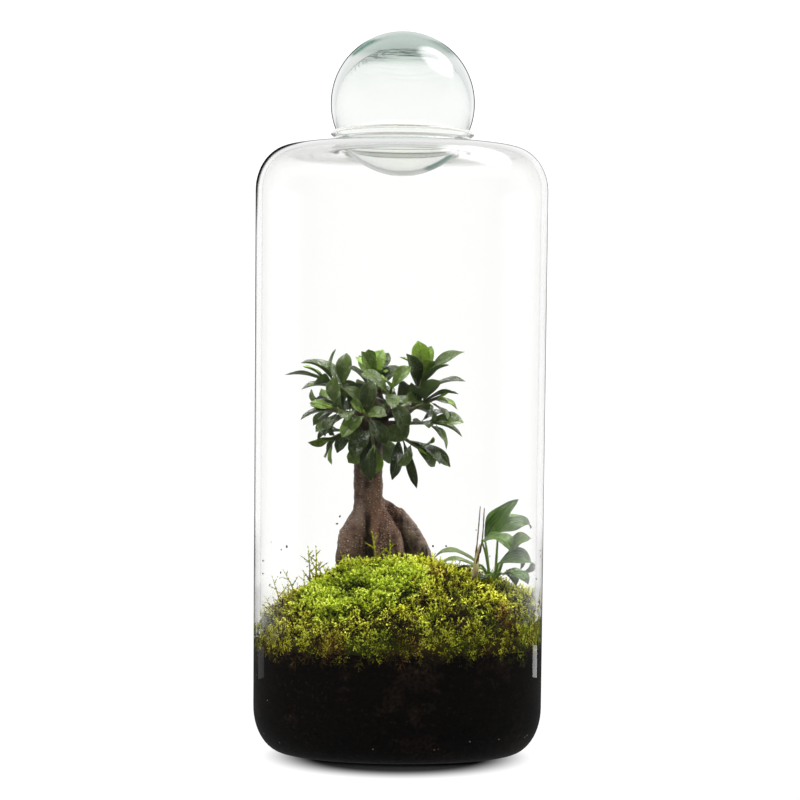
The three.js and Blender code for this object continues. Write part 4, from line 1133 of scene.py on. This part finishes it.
# name: where the stem ends, which way it points, how long its leaves are, how far round the
# first one stands, the tips that are given, and for each leaf which of its tried bends it took.
SHOOTS = {
    "left_top": ((-50, -8, 257), (-0.82, -0.12, 0.52), 32, 10,
        [(-69, -8, 250), (-62, 10, 272), (-37, -3, 276), (-80, -12, 260), (-69, -20, 268.5)],
        [0, 0, 0, 0, 0, 1, 76, 111]),
    "top": ((-20, -6, 263), (-0.05, -0.15, 1), 25, 60,
        [(-36, -16, 266), (2, -14, 266), (-27.6, -12, 275), (-12.6, -12, 277.5), (-8, 2, 277)],
        [24, 0, 72, 112, 30, 94, 20, 101]),
    "right_top": ((17, -2, 262), (0.35, -0.05, 0.92), 30, 20,
        [(46, -6, 257), (3, -12, 274), (34, -20, 268), (43.5, -3, 279), (22, 5, 281), (12.5, -4, 286)],
        [0, 72, 0, 63, 37, 38, 58, 98]),
    "right_upper": ((25, -13, 245), (0.85, -0.35, 0.4), 27, 80,
        [(12, -36, 252), (41, -14, 248), (27, -30, 256)], [0, 0, 48, 83, 0, 104, 83]),
    "right_middle": ((24, -16, 228), (0.88, -0.4, 0.02), 28, 140,
        [(20, -36, 224), (43.5, -20, 218), (38, -4, 236), (46, -22, 231)], [0, 0, 88, 107, 0, 83, 97]),
    "right_low": ((12, -20, 211), (0.65, -0.5, -0.45), 29, 30,
        [(-5, -27, 188), (11, -25, 182.5), (28, -29, 199), (37, -22, 200)], [0, 93, 0, 107, 0, 0, 62]),
    "front_top": ((-6, -33, 251), (0.15, -0.8, 0.55), 28, 100,
        [(-18, -26, 244), (8, -32, 238)], [0, 101, 104, 9, 16, 0, 0]),
    "front": ((-24, -37, 234), (-0.1, -0.95, 0.2), 28, 50,
        [(-5, -28, 240), (-38, -30, 252)], [115, 0, 12, 41, 0, 6, 0]),
    "front_low": ((-18, -29, 213), (0.1, -0.75, -0.6), 30, 170,
        [(-32, -32, 202), (-19, -31, 187)], [0, 0, 94, 56, 104, 37]),
    "left_front": ((-45, -26, 237), (-0.65, -0.65, 0.25), 27, 70, [(-34, -42, 228)], [87, 18, 34, 34, 0, 0, 0]),
    "left_middle": ((-52, -2, 237), (-0.95, -0.1, 0.2), 28, 120,
        [(-58, -16, 241), (-60, 12, 243), (-69, -8, 229)], [34, 0, 0, 0, 24, 89, 87]),
    "left_low": ((-46, -11, 217), (-0.75, -0.35, -0.35), 27, 150,
        [(-29, -24, 202), (-43, -21, 206), (-57, -5, 214), (-60, -22, 221)], [93, 0, 103, 99, 111, 111, 115]),
    "back_top": ((-23, 29, 258), (-0.1, 0.65, 0.75), 28, 62, [], [37, 0, 0, 0, 0, 0]),
    "back_left": ((-46, 27, 238), (-0.6, 0.75, 0.2), 28, 90, [], [32, 0, 91, 0, 19, 0]),
    "back_right": ((7, 29, 242), (0.55, 0.75, 0.3), 28, 130, [], [75, 0, 24, 0, 0, 0]),
    "back_low": ((-18, 37, 216), (0.05, 0.9, -0.3), 28, 15, [], [59, 90, 0, 0, 0, 0]),
}
STEM_LENGTH = 21


def twig_line(end, aim):
    """The twig that carries a shoot, from the trunk to just short of the shoot's stem."""
    axis = unit(aim)
    stop = np.array(end) - axis * (STEM_LENGTH + 0.3)
    before = stop - axis * 6
    root = np.array([FIG[0], FIG[1], min(240, max(200, before[2] - 6))])
    knee = root + (before - root) * 0.55 + (0, 0, 1.5)
    return [(*p, r) for p, r in zip((root, knee, before, stop), (3.6, 2.6, 2.1, 1.7))]


limbs = [tube([(x + FIG[0], y + FIG[1], z, r) for x, y, z, r in line], 28) for line in LIMBS.values()]
limbs += [tube(twig_line(shoot[0], shoot[1]), 12) for shoot in SHOOTS.values()]
raw_points, raw_faces = gather(limbs)
raw = bpy.data.objects.new("limbs", mesh_of("limbs", raw_points, [raw_faces]))
bpy.context.collection.objects.link(raw)
melt = raw.modifiers.new("melt", "REMESH")
melt.mode = "VOXEL"
melt.voxel_size = VOXEL / 1000
soften = raw.modifiers.new("soften", "SMOOTH")
soften.factor = 0.5
soften.iterations = 5
bpy.context.view_layer.update()
skin = raw.evaluated_get(bpy.context.evaluated_depsgraph_get()).to_mesh()
skin_points = np.empty(len(skin.vertices) * 3)
skin_normals = np.empty(len(skin.vertices) * 3)
skin.vertices.foreach_get("co", skin_points)
skin.vertices.foreach_get("normal", skin_normals)
skin_points, skin_normals = skin_points.reshape(-1, 3) * 1000, skin_normals.reshape(-1, 3)
skin.calc_loop_triangles()
skin_faces = np.empty(len(skin.loop_triangles) * 3, np.int32)
skin.loop_triangles.foreach_get("vertices", skin_faces)
raw.evaluated_get(bpy.context.evaluated_depsgraph_get()).to_mesh_clear()
bpy.data.objects.remove(raw)

# Bark: long shallow folds that run up the roots, and fine level wrinkles.
thick = 1 - eased(skin_points[:, 2], 190, 235) * 0.7
folds = lumps(skin_points * (1, 1, 0.22), 5.0, 14) + 0.6 * lumps(skin_points * (1, 1, 0.3), 2.6, 17)
wrinkles = lumps(skin_points * (0.7, 0.7, 2.2), 3.0, 15)
skin_points += skin_normals * ((0.95 * folds + 0.35 * wrinkles) * thick)[:, None]

# The grooves where two roots lie against each other: a height, how far right, and how deep.
GROOVE = [(118, 2.0, 3.4), (134, 1.6, 4.2), (148, 0.8, 3.8), (160, 0.2, 2.4), (172, 0.0, 1.0), (186, 0.0, 0.0)]
heights, to_right, depths = np.array(GROOVE).T
across = skin_points[:, 0] - FIG[0] - np.interp(skin_points[:, 2], heights, to_right)
depth = np.interp(skin_points[:, 2], heights, depths)
facing = eased(-skin_normals[:, 1], 0.1, 0.5)
sunk = depth * facing * np.exp(-((across / 2.1) ** 2))
skin_points -= skin_normals * sunk[:, None]
# Painted shade: the trunk up in the crown is darkened, and so are the low folds and the grooves between the roots.
painted_crown_shade = 0.5 * eased(skin_points[:, 2], 198, 220)
hollow = np.clip(0.5 - 0.45 * folds - 0.2 * wrinkles + 0.22 * sunk + painted_crown_shade, 0, 1)

# %% [markdown]
# ## Bark
# The bark is brown and smooth, greyer on the left, partly from weathering and partly as painted
# light, and greyer up the trunk from weathering. It is pale on the root at the right and in patches,
# partly its own colour and partly painted light. Dark streaks run down the bulbs, and painted shade
# darkens the low folds, the grooves between the roots and the trunk up in the crown. Its pale corky
# dots, the lenticels, lie level. They come from cells stretched sideways: the middle of some cells
# is made pale and raised a little. Slow noise gives the darker and redder patches.

# %% Finish the wood
RED_BROWN = [(0.34, (0.014, 0.005, 0.003)), (0.5, (0.064, 0.022, 0.011)), (0.68, (0.17, 0.078, 0.044))]
bark = Recipe(bpy.data.materials, "fig_bark")
fine = bark.noise(700, 5, bark.place((1, 1, 1.6)), 0.65)
lenticels = bark.cells(520, (1, 1, 1.5), [(0.40, 0.0), (0.60, 1.0)], [(0.16, 1.0), (0.36, 0.0)])
red_brown = bark.ramp(bark.noise(75, 4, bark.place((1.2, 1.2, 0.32)), 0.6), RED_BROWN)
grey_brown = bark.mix(bark.number("weathered_and_lit"), red_brown, (0.12, 0.076, 0.056))
greyed = bark.mix(bark.number("pale"), grey_brown, (0.34, 0.28, 0.23))
worn = bark.mix(bark.ramp(fine, [(0.44, 0.0), (0.62, 0.75)]), greyed, (0.23, 0.145, 0.10))
corky = bark.mix(lenticels, worn, (0.64, 0.47, 0.34))
# Dark cracks, with painted shade in the folds, the grooves and up in the crown.
cracks_and_shade = bark.ramp(bark.number("hollow"), [(0.45, 0.0), (0.95, 0.92)])
cracked_and_shaded = bark.mix(cracks_and_shade, corky, (0.014, 0.007, 0.004))
relief = bark.plus(bark.times(fine, 0.8), lenticels)
bark_shell = bark.shell(cracked_and_shaded, 0.5, Specular_IOR_Level=0.25, Normal=bark.bump(relief, 0.0015))
bark_finish = bark.out(bark_shell)
# Greyer on the left, partly weathering and partly painted light, and greyer up the trunk.
weathered_and_lit = 1 - 0.85 * eased(skin_points[:, 0] - FIG[0], -4, 6) * eased(-skin_points[:, 2], -200, -165)
weathered_and_lit *= 0.6 + 0.4 * lumps(skin_points, 14, 18)
right_root = eased(skin_points[:, 0] - FIG[0], 21, 28) * eased(-skin_points[:, 2], -176, -160)
streaks = eased(lumps(skin_points * (1, 1, 0.12), 2.2, 22), 0.25, 0.7) * eased(-skin_points[:, 2], -190, -160)
hollow = np.clip(hollow + 0.35 * streaks, 0, 1)
# Pale on the root at the right and in patches, partly its own colour and partly painted light.
pale = 0.5 * right_root + 0.35 * eased(lumps(skin_points * (1, 1, 0.5), 9, 23), 0.2, 0.8)
bark_numbers = {"hollow": hollow, "weathered_and_lit": np.clip(weathered_and_lit, 0, 1), "pale": np.clip(pale, 0, 1)}
place("fig_trunk", skin_points, [skin_faces.reshape(-1, 3)], [bark_finish], "bark", ["fig_wood"], bark_numbers)

# %% [markdown]
# ## The fig's leaves
# A fig leaf is leathery: dark and glossy above, paler below, folded a little along its midrib,
# and bent back towards its tip. A modelled leaf could be copied along the stems, but then
# all would bend alike. Here each leaf is a sheet drawn by the rule that the CAD follows, so it
# sits where the CAD's leaf does, with a fine outline, a midrib, a waved edge and some thickness.
# Each point carries its place along and across the leaf, for the veins, and the leaf's age,
# for its colour: the oldest are nearly black, the youngest lime.

# %% Draw a leaf by the rule of the shoot
TRIALS = 120
PETIOLE = 0.12
BROADEST = 29
GOLDEN_TURN = math.radians(137.5)
OUTER_LEAF = 26  # leaves that reach further out to a side lie level, so they are seen from their edge
LEAF_ROWS = 20
LEAF_COLUMNS = 11
BENT_TIP = 1.5  # leaves bend most near the tip: this much more there, for the same chord


def leaf_by_turn(shoot, axis, i, age, strays, trial):
    _, _, size, first_turn, _, _ = shoot
    stray = trial / TRIALS
    sway = math.radians(150 * stray * (chance(7 * trial + 3) - 0.5) + 8 * (strays(1) - 0.5))
    tilt = 70 * stray * (chance(5 * trial + 1) - 0.5)
    spread = math.radians(24 + 60 * age**0.8 + 10 * (strays(2) - 0.5) + tilt)
    angle = math.radians(first_turn) + i * GOLDEN_TURN + sway
    level = unit(np.cross((0.3, 0.2, 1), axis))
    other = np.cross(axis, level)
    out = level * math.cos(angle) + other * math.sin(angle)
    aim = axis * math.cos(spread) + out * math.sin(spread) - np.array([0, 0, 0.16 * age])
    face = axis * math.sin(spread) - out * math.cos(spread) + np.array([0, 0, 0.7])
    length = size * (0.66 + 0.38 * age**0.6) * (0.92 + 0.16 * strays(3))
    curl = 16 + 40 * age + 16 * strays(4) + 30 * stray * (chance(3 * trial + 2) - 0.5)
    return unit(aim), face, length, math.radians(curl)


def leaf_by_tip(tip, foot, strays, trial):
    stray = trial / TRIALS
    wander = chance(9 * trial + np.arange(1, 4)) - 0.5
    reach = np.array(tip) - foot + wander * (7, 22, 7) * stray
    chord = unit(reach)
    up = np.array([0.5 * (strays(1) - 0.5), -0.3 + 0.7 * (strays(2) - 0.5), 0.8])
    if abs(tip[0] - FIG[0]) > OUTER_LEAF:
        up[1] *= 0.3
    if abs(chord[2]) > 0.8:
        up = np.array([-0.3 * np.sign(tip[0] - foot[0]), -0.9, 0.2])
    up = up + 1.2 * stray * np.array([wander[0], wander[2], 0])
    up = square_to(chord, up)
    curl = math.radians(24 + 22 * strays(4))
    aim = chord * math.cos(curl / 2) + up * math.sin(curl / 2)
    return aim, up, np.linalg.norm(reach) * (curl / 2) / math.sin(curl / 2), curl


def fig_leaf(shoot, s, i):
    """The i-th leaf of a shoot: where its foot is, how it aims, faces and bends, and its age."""
    end, aim, _, _, tips, bends = shoot
    axis = unit(aim)
    age = 1 - i / (len(bends) - 1)
    strays = lambda n: float(chance(100 * s + 10 * i + n))
    foot = np.array(end) + axis * STEM_LENGTH * (0.16 + 0.84 * (1 - age) - 1)
    if i < len(tips):
        aim, face, length, curl = leaf_by_tip(tips[i], foot, strays, bends[i])
    else:
        aim, face, length, curl = leaf_by_turn(shoot, axis, i, age, strays, bends[i])
    face = square_to(aim, face)
    return {"foot": foot, "aim": aim, "face": face, "length": length, "curl": curl, "age": age}


def fig_outline(t):
    """Half the width of a fig leaf along its length: blunt, with a short drawn-out tip."""
    share = np.maximum(0, (t - PETIOLE) / (1 - PETIOLE))
    half = 0.212 * np.maximum(np.sin(np.pi * share**1.25), 0) ** 0.66
    return half * (1.06 - 0.40 * eased(t, 0.84, 0.98))


def blade(leaf, outline, fold, wave, seed, rows=LEAF_ROWS, columns=LEAF_COLUMNS, thick=0.34, broad=None):
    """A bent leaf of some thickness, with its points' places along, across and below."""
    broad = leaf["length"] if broad is None else broad
    t = np.concatenate([[0, PETIOLE * 0.5], np.linspace(PETIOLE, 0.985, rows - 3), [1.0]])[:, None]
    across = np.sin(np.linspace(-1, 1, columns) * np.pi / 2)[None, :]
    bend = BENT_TIP * leaf["curl"] * t**2
    half = np.maximum(outline(t) * broad, 0.55 * (1 - 0.9 * eased(t, 0.9, 1)))
    wide = across * half
    fine_t = np.linspace(0, 1, 200)
    fine_bend = BENT_TIP * leaf["curl"] * fine_t**2
    ahead = np.stack([np.cos(fine_bend), -np.sin(fine_bend)], -1)
    path = np.concatenate([[(0, 0)], np.cumsum(0.5 * (ahead[1:] + ahead[:-1]), axis=0) / 199]) * leaf["length"]
    run, drop = (np.interp(t, fine_t, path[:, k])[..., None] for k in (0, 1))
    spine = leaf["aim"] * run + leaf["face"] * drop
    normal = leaf["face"] * np.cos(bend)[..., None] + leaf["aim"] * np.sin(bend)[..., None]
    side = np.cross(leaf["face"], leaf["aim"])
    lift = fold * (np.sqrt(wide**2 + 1.2) - 1.1)
    phase = 6.3 * float(chance(seed + 5))
    lift = lift + wave * half * across**2 * np.sin(2 * np.pi * (1.7 * t + 0.25 * np.sign(across)) + phase)
    bulge = between(t, 0.1, 0.25, 0.9, 1)
    lift = lift - 0.28 * bulge * np.exp(-((across / 0.10) ** 2))
    sheet = leaf["foot"] + spine + side * wide[..., None] + normal * lift[..., None]
    body = 0.5 * thick * (1 - 0.75 * across**4) * (1 + 1.6 * bulge * np.exp(-((across / 0.07) ** 2)))
    body = body * (1 + 1.2 * (t < PETIOLE)) * (1 - 0.6 * (t > 0.99))
    top, low = sheet + normal * (0.35 * body)[..., None], sheet - normal * body[..., None]
    points = np.concatenate([top.reshape(-1, 3), low.reshape(-1, 3)])
    count = len(t)
    grid = np.arange(count * columns).reshape(count, columns)
    a, b, c, d = grid[:-1, :-1], grid[1:, :-1], grid[1:, 1:], grid[:-1, 1:]
    upper = np.stack([a, d, c, b], -1).reshape(-1, 4)
    under = np.stack([a, b, c, d], -1).reshape(-1, 4) + grid.size
    loop = np.concatenate([grid[:, 0], grid[-1, 1:], grid[-2::-1, -1], grid[0, -2:0:-1]])
    after = np.roll(loop, -1)
    rim = np.stack([loop, loop + grid.size, after + grid.size, after], -1)
    quads = np.concatenate([upper, under, rim[:, ::-1]])
    along = np.broadcast_to(t, grid.shape).ravel()
    sideways = np.broadcast_to(across, grid.shape).ravel()
    numbers = {"along": np.tile(along, 2), "across": np.tile(sideways, 2), "below": np.repeat([0.0, 1.0], grid.size)}
    return points, quads, numbers


test_leaf = fig_leaf(SHOOTS["top"], 1, 2)
print("the third leaf of the top shoot is", round(test_leaf["length"], 3), "mm long")

# %% [markdown]
# ## Leaf green
# The colour runs with the age of the leaf. The midrib and the side veins are paler and stand a
# little proud, the underside is dull and lighter, and the upper side has a waxy gloss that
# varies a little, so that the highlights break up. A paler band along the margin is painted light,
# for the light that shines through the edge. Thin young leaves let light through.

# %% Mix the leaf greens
def leaf_finish(name, stops, vein_colour, veins, slant, vein_share, rib_share, roughness, glow, ribbed):
    """Leaf green by tone. The veins: how many, how slanted, how strong they and all lines are."""
    recipe = Recipe(bpy.data.materials, name)
    along, across, below = (recipe.number(key) for key in ("along", "across", "below"))
    off_rib = recipe.sum("ABSOLUTE", across)
    rib = recipe.ramp(off_rib, [(0.02, 1.0), (0.06, 0.0)])
    run = recipe.sum("SUBTRACT", recipe.times(along, veins), recipe.times(off_rib, slant))
    comb = recipe.sum("ABSOLUTE", recipe.sum("SUBTRACT", recipe.sum("FRACT", run), 0.5))
    side_veins = recipe.ramp(comb, [(0.0, 1.0), (0.14, 0.0)])
    lines = recipe.larger(rib, recipe.times(side_veins, vein_share))
    mottle = recipe.noise(240, 4, recipe.place())
    green = recipe.ramp(recipe.plus(recipe.number("tone"), recipe.led(mottle, 0.3, 0.7, -0.08, 0.08)), stops)
    lengthwise = recipe.node("CombineXYZ", {0: recipe.times(across, 7.0), 1: recipe.times(along, 2.2)})
    ribs = recipe.noise(1.6, 2, lengthwise.outputs[0])
    pale_ribs = recipe.times(recipe.ramp(ribs, [(0.48, 0.0), (0.66, 1.0)]), ribbed)
    # A painted light rim along the margin, in place of light shining through the leaf's edge.
    margin = recipe.ramp(off_rib, [(0.90, 0.0), (0.97, 1.0)])
    veins_and_lit_margin = recipe.larger(recipe.times(lines, rib_share), recipe.times(margin, 0.4))
    veined = recipe.mix(veins_and_lit_margin, recipe.mix(pale_ribs, green, vein_colour), vein_colour)
    colour = recipe.mix(below, veined, recipe.mix(0.35, veined, (0.16, 0.24, 0.09)))
    gloss = recipe.led(mottle, 0.3, 0.7, roughness - 0.06, roughness + 0.10)
    drops = recipe.cells(620, (1, 1, 1), [(0.54, 0.0), (0.56, 1.0)], [(0.16, 1.0), (0.34, 0.0)])
    polish = recipe.blend(drops, recipe.blend(below, gloss, 0.6), 0.08)
    veins_and_mottle = recipe.plus(recipe.times(lines, 0.6), recipe.times(mottle, 0.5))
    relief = recipe.plus(recipe.plus(veins_and_mottle, drops), recipe.times(ribs, 4 * ribbed))
    waxy = {"Specular_IOR_Level": 0.42, "Coat_Weight": 0.22, "Coat_Roughness": 0.12}
    shell = recipe.shell(colour, polish, Normal=recipe.bump(relief, 0.0009), **waxy)
    lit_from_behind = recipe.node("BsdfTranslucent", {"Color": colour}).outputs[0]
    return recipe.out(recipe.either(glow, shell, lit_from_behind))


FIG_GREENS = [
    (0.0, (0.009, 0.015, 0.004)),
    (0.3, (0.026, 0.038, 0.010)),
    (0.6, (0.085, 0.128, 0.026)),
    (0.8, (0.17, 0.29, 0.025)),
    (1.0, (0.40, 0.50, 0.06)),
]
LILY_GREENS = [(0.0, (0.008, 0.022, 0.003)), (0.5, (0.036, 0.115, 0.004)), (1.0, (0.34, 0.42, 0.14))]
fig_green = leaf_finish(
    "fig_leaf_green", FIG_GREENS, (0.16, 0.26, 0.08),
    veins=13, slant=2.2, vein_share=0.35, rib_share=0.3, roughness=0.22, glow=0.10, ribbed=0.08,
)
lily_green = leaf_finish(
    "peace_lily_green", LILY_GREENS, (0.24, 0.38, 0.09),
    veins=22, slant=5.0, vein_share=0.8, rib_share=0.6, roughness=0.20, glow=0.24, ribbed=0.75,
)
young = Recipe(bpy.data.materials, "young_stem")
stem_noise = young.noise(260, 4, young.place((1, 1, 0.6)))
stem_green = young.ramp(stem_noise, [(0.3, (0.05, 0.06, 0.02)), (0.7, (0.13, 0.15, 0.05))])
stem_finish = young.out(young.shell(stem_green, 0.5, Normal=young.bump(stem_noise, 0.0005)))
print("three greens are mixed")

# %% [markdown]
# ## Dress the shoots
# Each of the sixteen shoots is one piece: its stem, a pointed bud at the end, and its leaves.
# The leaves that are lime in the picture, high on the right and in front, are told by name.

# %% Make the sixteen shoots
LIME_LEAVES = {
    ("right_top", 4): 0.72, ("right_top", 5): 0.80, ("right_top", 6): 0.85, ("right_top", 7): 0.9,
    ("top", 2): 0.6, ("top", 3): 0.72, ("top", 5): 0.7, ("top", 6): 0.8, ("top", 7): 0.85,
    ("right_upper", 2): 0.62, ("right_upper", 5): 0.8, ("right_upper", 6): 0.85,
    ("right_middle", 5): 0.6, ("right_middle", 6): 0.7, ("left_top", 6): 0.6, ("left_top", 7): 0.7,
    ("front_top", 5): 0.6, ("front_top", 6): 0.7, ("left_middle", 6): 0.5,
}
SLIM_LEAVES = {
    ("right_low", 0): 0.7, ("right_low", 1): 0.5, ("right_low", 3): 0.8, ("right_low", 4): 0.8,
    ("left_low", 1): 0.8,
}


def stitched(parts):
    """Meshes with their own faces, numbers and finishes as one."""
    points, faces, numbers, which, start = [], [], {}, [], 0
    for part, quads, values, finish in parts:
        points.append(part)
        faces.append(np.asarray(quads) + start)
        which.append(np.full(len(quads), finish))
        for key in ("along", "across", "below", "tone"):
            value = values.get(key, 0.0)
            numbers.setdefault(key, []).append(np.broadcast_to(np.asarray(value, float), len(part)))
        start += len(part)
    sizes = [group.shape[1] for group in faces]
    order = [np.concatenate([f for f, size in zip(faces, sizes) if size == n]) for n in sorted(set(sizes))]
    marks = [np.concatenate([w for w, size in zip(which, sizes) if size == n]) for n in sorted(set(sizes))]
    return np.concatenate(points), order, {k: np.concatenate(v) for k, v in numbers.items()}, np.concatenate(marks)


for s, (name, shoot) in enumerate(SHOOTS.items()):
    axis = unit(shoot[1])
    end = np.array(shoot[0], float)
    stem = [(*(end + axis * far), r) for far, r in ((-STEM_LENGTH, 1.3), (-8, 1.2), (0, 1.0), (3.5, 0.75))]
    bud = [(*(end + axis * far), r) for far, r in ((2.5, 0.8), (5, 1.05), (8, 0.6), (10.5, 0.15))]
    parts = [(*tube(stem, 10), {"tone": 0.4}, 1), (*tube(bud, 10), {"tone": 0.85, "across": 0.5}, 0)]
    for i in range(len(shoot[5])):
        leaf = fig_leaf(shoot, s, i)
        broad = min(leaf["length"], BROADEST) * SLIM_LEAVES.get((name, i), 1)
        sheet, quads, numbers = blade(leaf, fig_outline, 0.30, 0.10, 10 * s + i, broad=broad)
        tone = 0.12 + 0.40 * (1 - leaf["age"]) ** 1.3 + 0.30 * float(chance(17 * s + i + 3))
        numbers["tone"] = LIME_LEAVES.get((name, i), tone)
        parts.append((sheet, quads, numbers, 0))
    points, faces, numbers, which = stitched(parts)
    finishes, stands = [fig_green, stem_finish], [f"fig_shoot_{name}"]
    place(f"leafy_shoot_{name}", points, faces, finishes, "fig_leaf", stands, numbers, which=which)

# %% [markdown]
# ## The peace lily
# The lily's leaves are longer and thinner than the fig's, with waved edges and a long tip, and
# stand on slim stalks that sheathe each other at the crown.

# %% Grow the peace lily
LILY = (65, -8, 119)
LILY_CROWN = [(65, -8, 100, 4), (65, -8, 114, 4.4), (65, -8, 120, 3.6), (65, -8, 125, 2.2)]
LILY_LEAVES = [  # where the stalk ends, aim, face, length, width, how far it curls, how light
    ((59.5, -12, 147.5), (0.50, -0.2, 0.85), (-0.5, -0.75, 0.4), 37, 0.21, 24, 0.36),
    ((69, -4, 153), (0.84, 0.0, 0.54), (-0.35, -0.7, 0.6), 32, 0.24, 78, 0.30),
    ((76, -12, 140), (0.55, -0.2, 0.8), (-0.6, -0.6, 0.4), 21, 0.30, 70, 0.60),
    ((57, -20, 147), (0.75, -0.5, 0.30), (0.1, -0.45, 0.9), 28, 0.30, 95, 0.58),
    ((69, -16, 132), (0.9, -0.15, 0.42), (-0.25, -0.65, 0.7), 38, 0.19, 140, 0.38),
    ((71, -24, 125), (0.6, -0.6, 0.15), (0, -0.3, 0.95), 23, 0.30, 60, 0.45),
    ((55, -15, 131), (-0.82, -0.2, 0.64), (0.5, -0.3, 0.8), 37, 0.11, 72, 0.8),
    ((56, -7, 128), (-0.9, 0, 0.48), (0.4, -0.3, 0.85), 33, 0.12, 60, 0.85),
    ((58, 4, 127), (-0.85, 0.45, 0.22), (0.1, -0.2, 0.95), 24, 0.2, 50, 0.5),
    ((73, 8, 133), (0.75, 0.3, 0.35), (-0.2, -0.3, 0.93), 24, 0.22, 110, 0.35),
    ((69, -15, 124), (0.55, -0.7, 0.2), (0, -0.3, 0.95), 20, 0.30, 80, 0.12),
    ((61, -15, 122), (-0.2, -0.8, 0.35), (0, -0.3, 0.95), 15, 0.32, 70, 0.15),
]


def off_the_glass(points):
    """What would touch the inside of the jar, held a little short of it."""
    return held_in(points, fill_radius(points[:, 2]) - 0.3)


def lily_outline(wide):
    return lambda t: wide * np.maximum(np.sin(np.pi * t**0.82), 0) ** 0.9


parts = [(*tube(LILY_CROWN, 14), {"tone": 0.6, "across": 0.5}, 0)]
for n, (knee, aim, face, length, wide, curl, light) in enumerate(LILY_LEAVES):
    ahead = unit(aim)
    up = square_to(ahead, np.array(face))
    leaf = {"foot": np.array(knee, float), "aim": ahead, "face": up, "length": length, "curl": math.radians(curl)}
    sheet, quads, numbers = blade(leaf, lily_outline(wide), 0.3, 0.16, 50 + n, 26, 11, 0.3)
    numbers["tone"] = light
    parts.append((off_the_glass(sheet), quads, numbers, 0))
    out = unit((knee[0] - LILY[0], knee[1] - LILY[1], 0))
    low = np.array(LILY) + out * 2.6
    middle = low + (leaf["foot"] - low) * 0.55 + (0, 0, 3)
    tip = leaf["foot"] + ahead * 2.5
    stalk = [(*low, 1.15), (*middle, 0.8), (*leaf["foot"], 0.65), (*tip, 0.45)]
    parts.append((*tube(stalk, 10, 8), {"tone": 0.66, "across": 0.5}, 0))
points, faces, numbers, which = stitched(parts)
place("lily_plant", points, faces, [lily_green], "lily_leaf", ["peace_lily"], numbers, which=which)

# %% [markdown]
# ## Dry stalks
# Two stalks have died back beside the lily. They are straw-coloured and thin, with a joint or
# two, and a dry sheath has curled open at the foot.

# %% Stand the dry stalks
FOOT, BEND = (50, -20, 100), (51, -20.5, 122)
TALL, SHORT = [(53.6, -22, 146), (55.5, -22, 171)], [(56.5, -26, 146), (58, -28, 170)]


def stalk_with_joints(stations):
    line = [(*p, r) for p, r in zip([FOOT, BEND, *stations], (1.2, 0.75, 0.5, 0.3))]
    points, faces = tube(line, 10, 12)
    joint = np.exp(-(((points[:, 2] - 140) / 1.2) ** 2)) + np.exp(-(((points[:, 2] - 158) / 1.0) ** 2))
    middle = np.array([np.interp(points[:, 2], [p[2] for p in line], [p[k] for p in line]) for k in (0, 1)]).T
    uneven = 0.5 * lumps(points * (0.2, 0.2, 1), 4.0, 21)
    points[:, :2] += (points[:, :2] - middle) * (0.5 * joint + uneven)[:, None]
    return points, faces


aim = unit((0.12, -0.15, 1))
face = square_to(aim, unit((-0.2, -1, 0)))
sheath = {"foot": np.array([51.8, -22.2, 122]), "aim": aim, "face": face, "length": 24, "curl": 0.5}
sheet, quads, numbers = blade(sheath, lambda t: 0.095 * (1 - 0.85 * t**1.5), -0.5, 0.3, 77, 18, 9, 0.3)
numbers["tone"] = 1.0
parts = [(*stalk_with_joints(line), {"tone": light}, 0) for line, light in ((TALL, 0.15), (SHORT, 0.0))]
points, faces, numbers, which = stitched([*parts, (sheet, quads, numbers, 0)])

ROTTED_STOPS = [(0.3, (0.018, 0.010, 0.005)), (0.55, (0.09, 0.055, 0.025)), (0.75, (0.22, 0.17, 0.07))]
BLEACHED_STOPS = [(0.3, (0.26, 0.22, 0.09)), (0.55, (0.48, 0.42, 0.20)), (0.75, (0.66, 0.62, 0.38))]
straw = Recipe(bpy.data.materials, "dry_straw")
fibres = straw.noise(500, 4, straw.place((1, 1, 0.12)))
dry = straw.mix(straw.number("tone"), straw.ramp(fibres, ROTTED_STOPS), straw.ramp(fibres, BLEACHED_STOPS))
straw_finish = straw.out(straw.shell(dry, 0.7, Normal=straw.bump(fibres, 0.0006)))
place("straw_stalks", points, faces, [straw_finish], "straw", ["dry_stalks"], numbers, which=which)
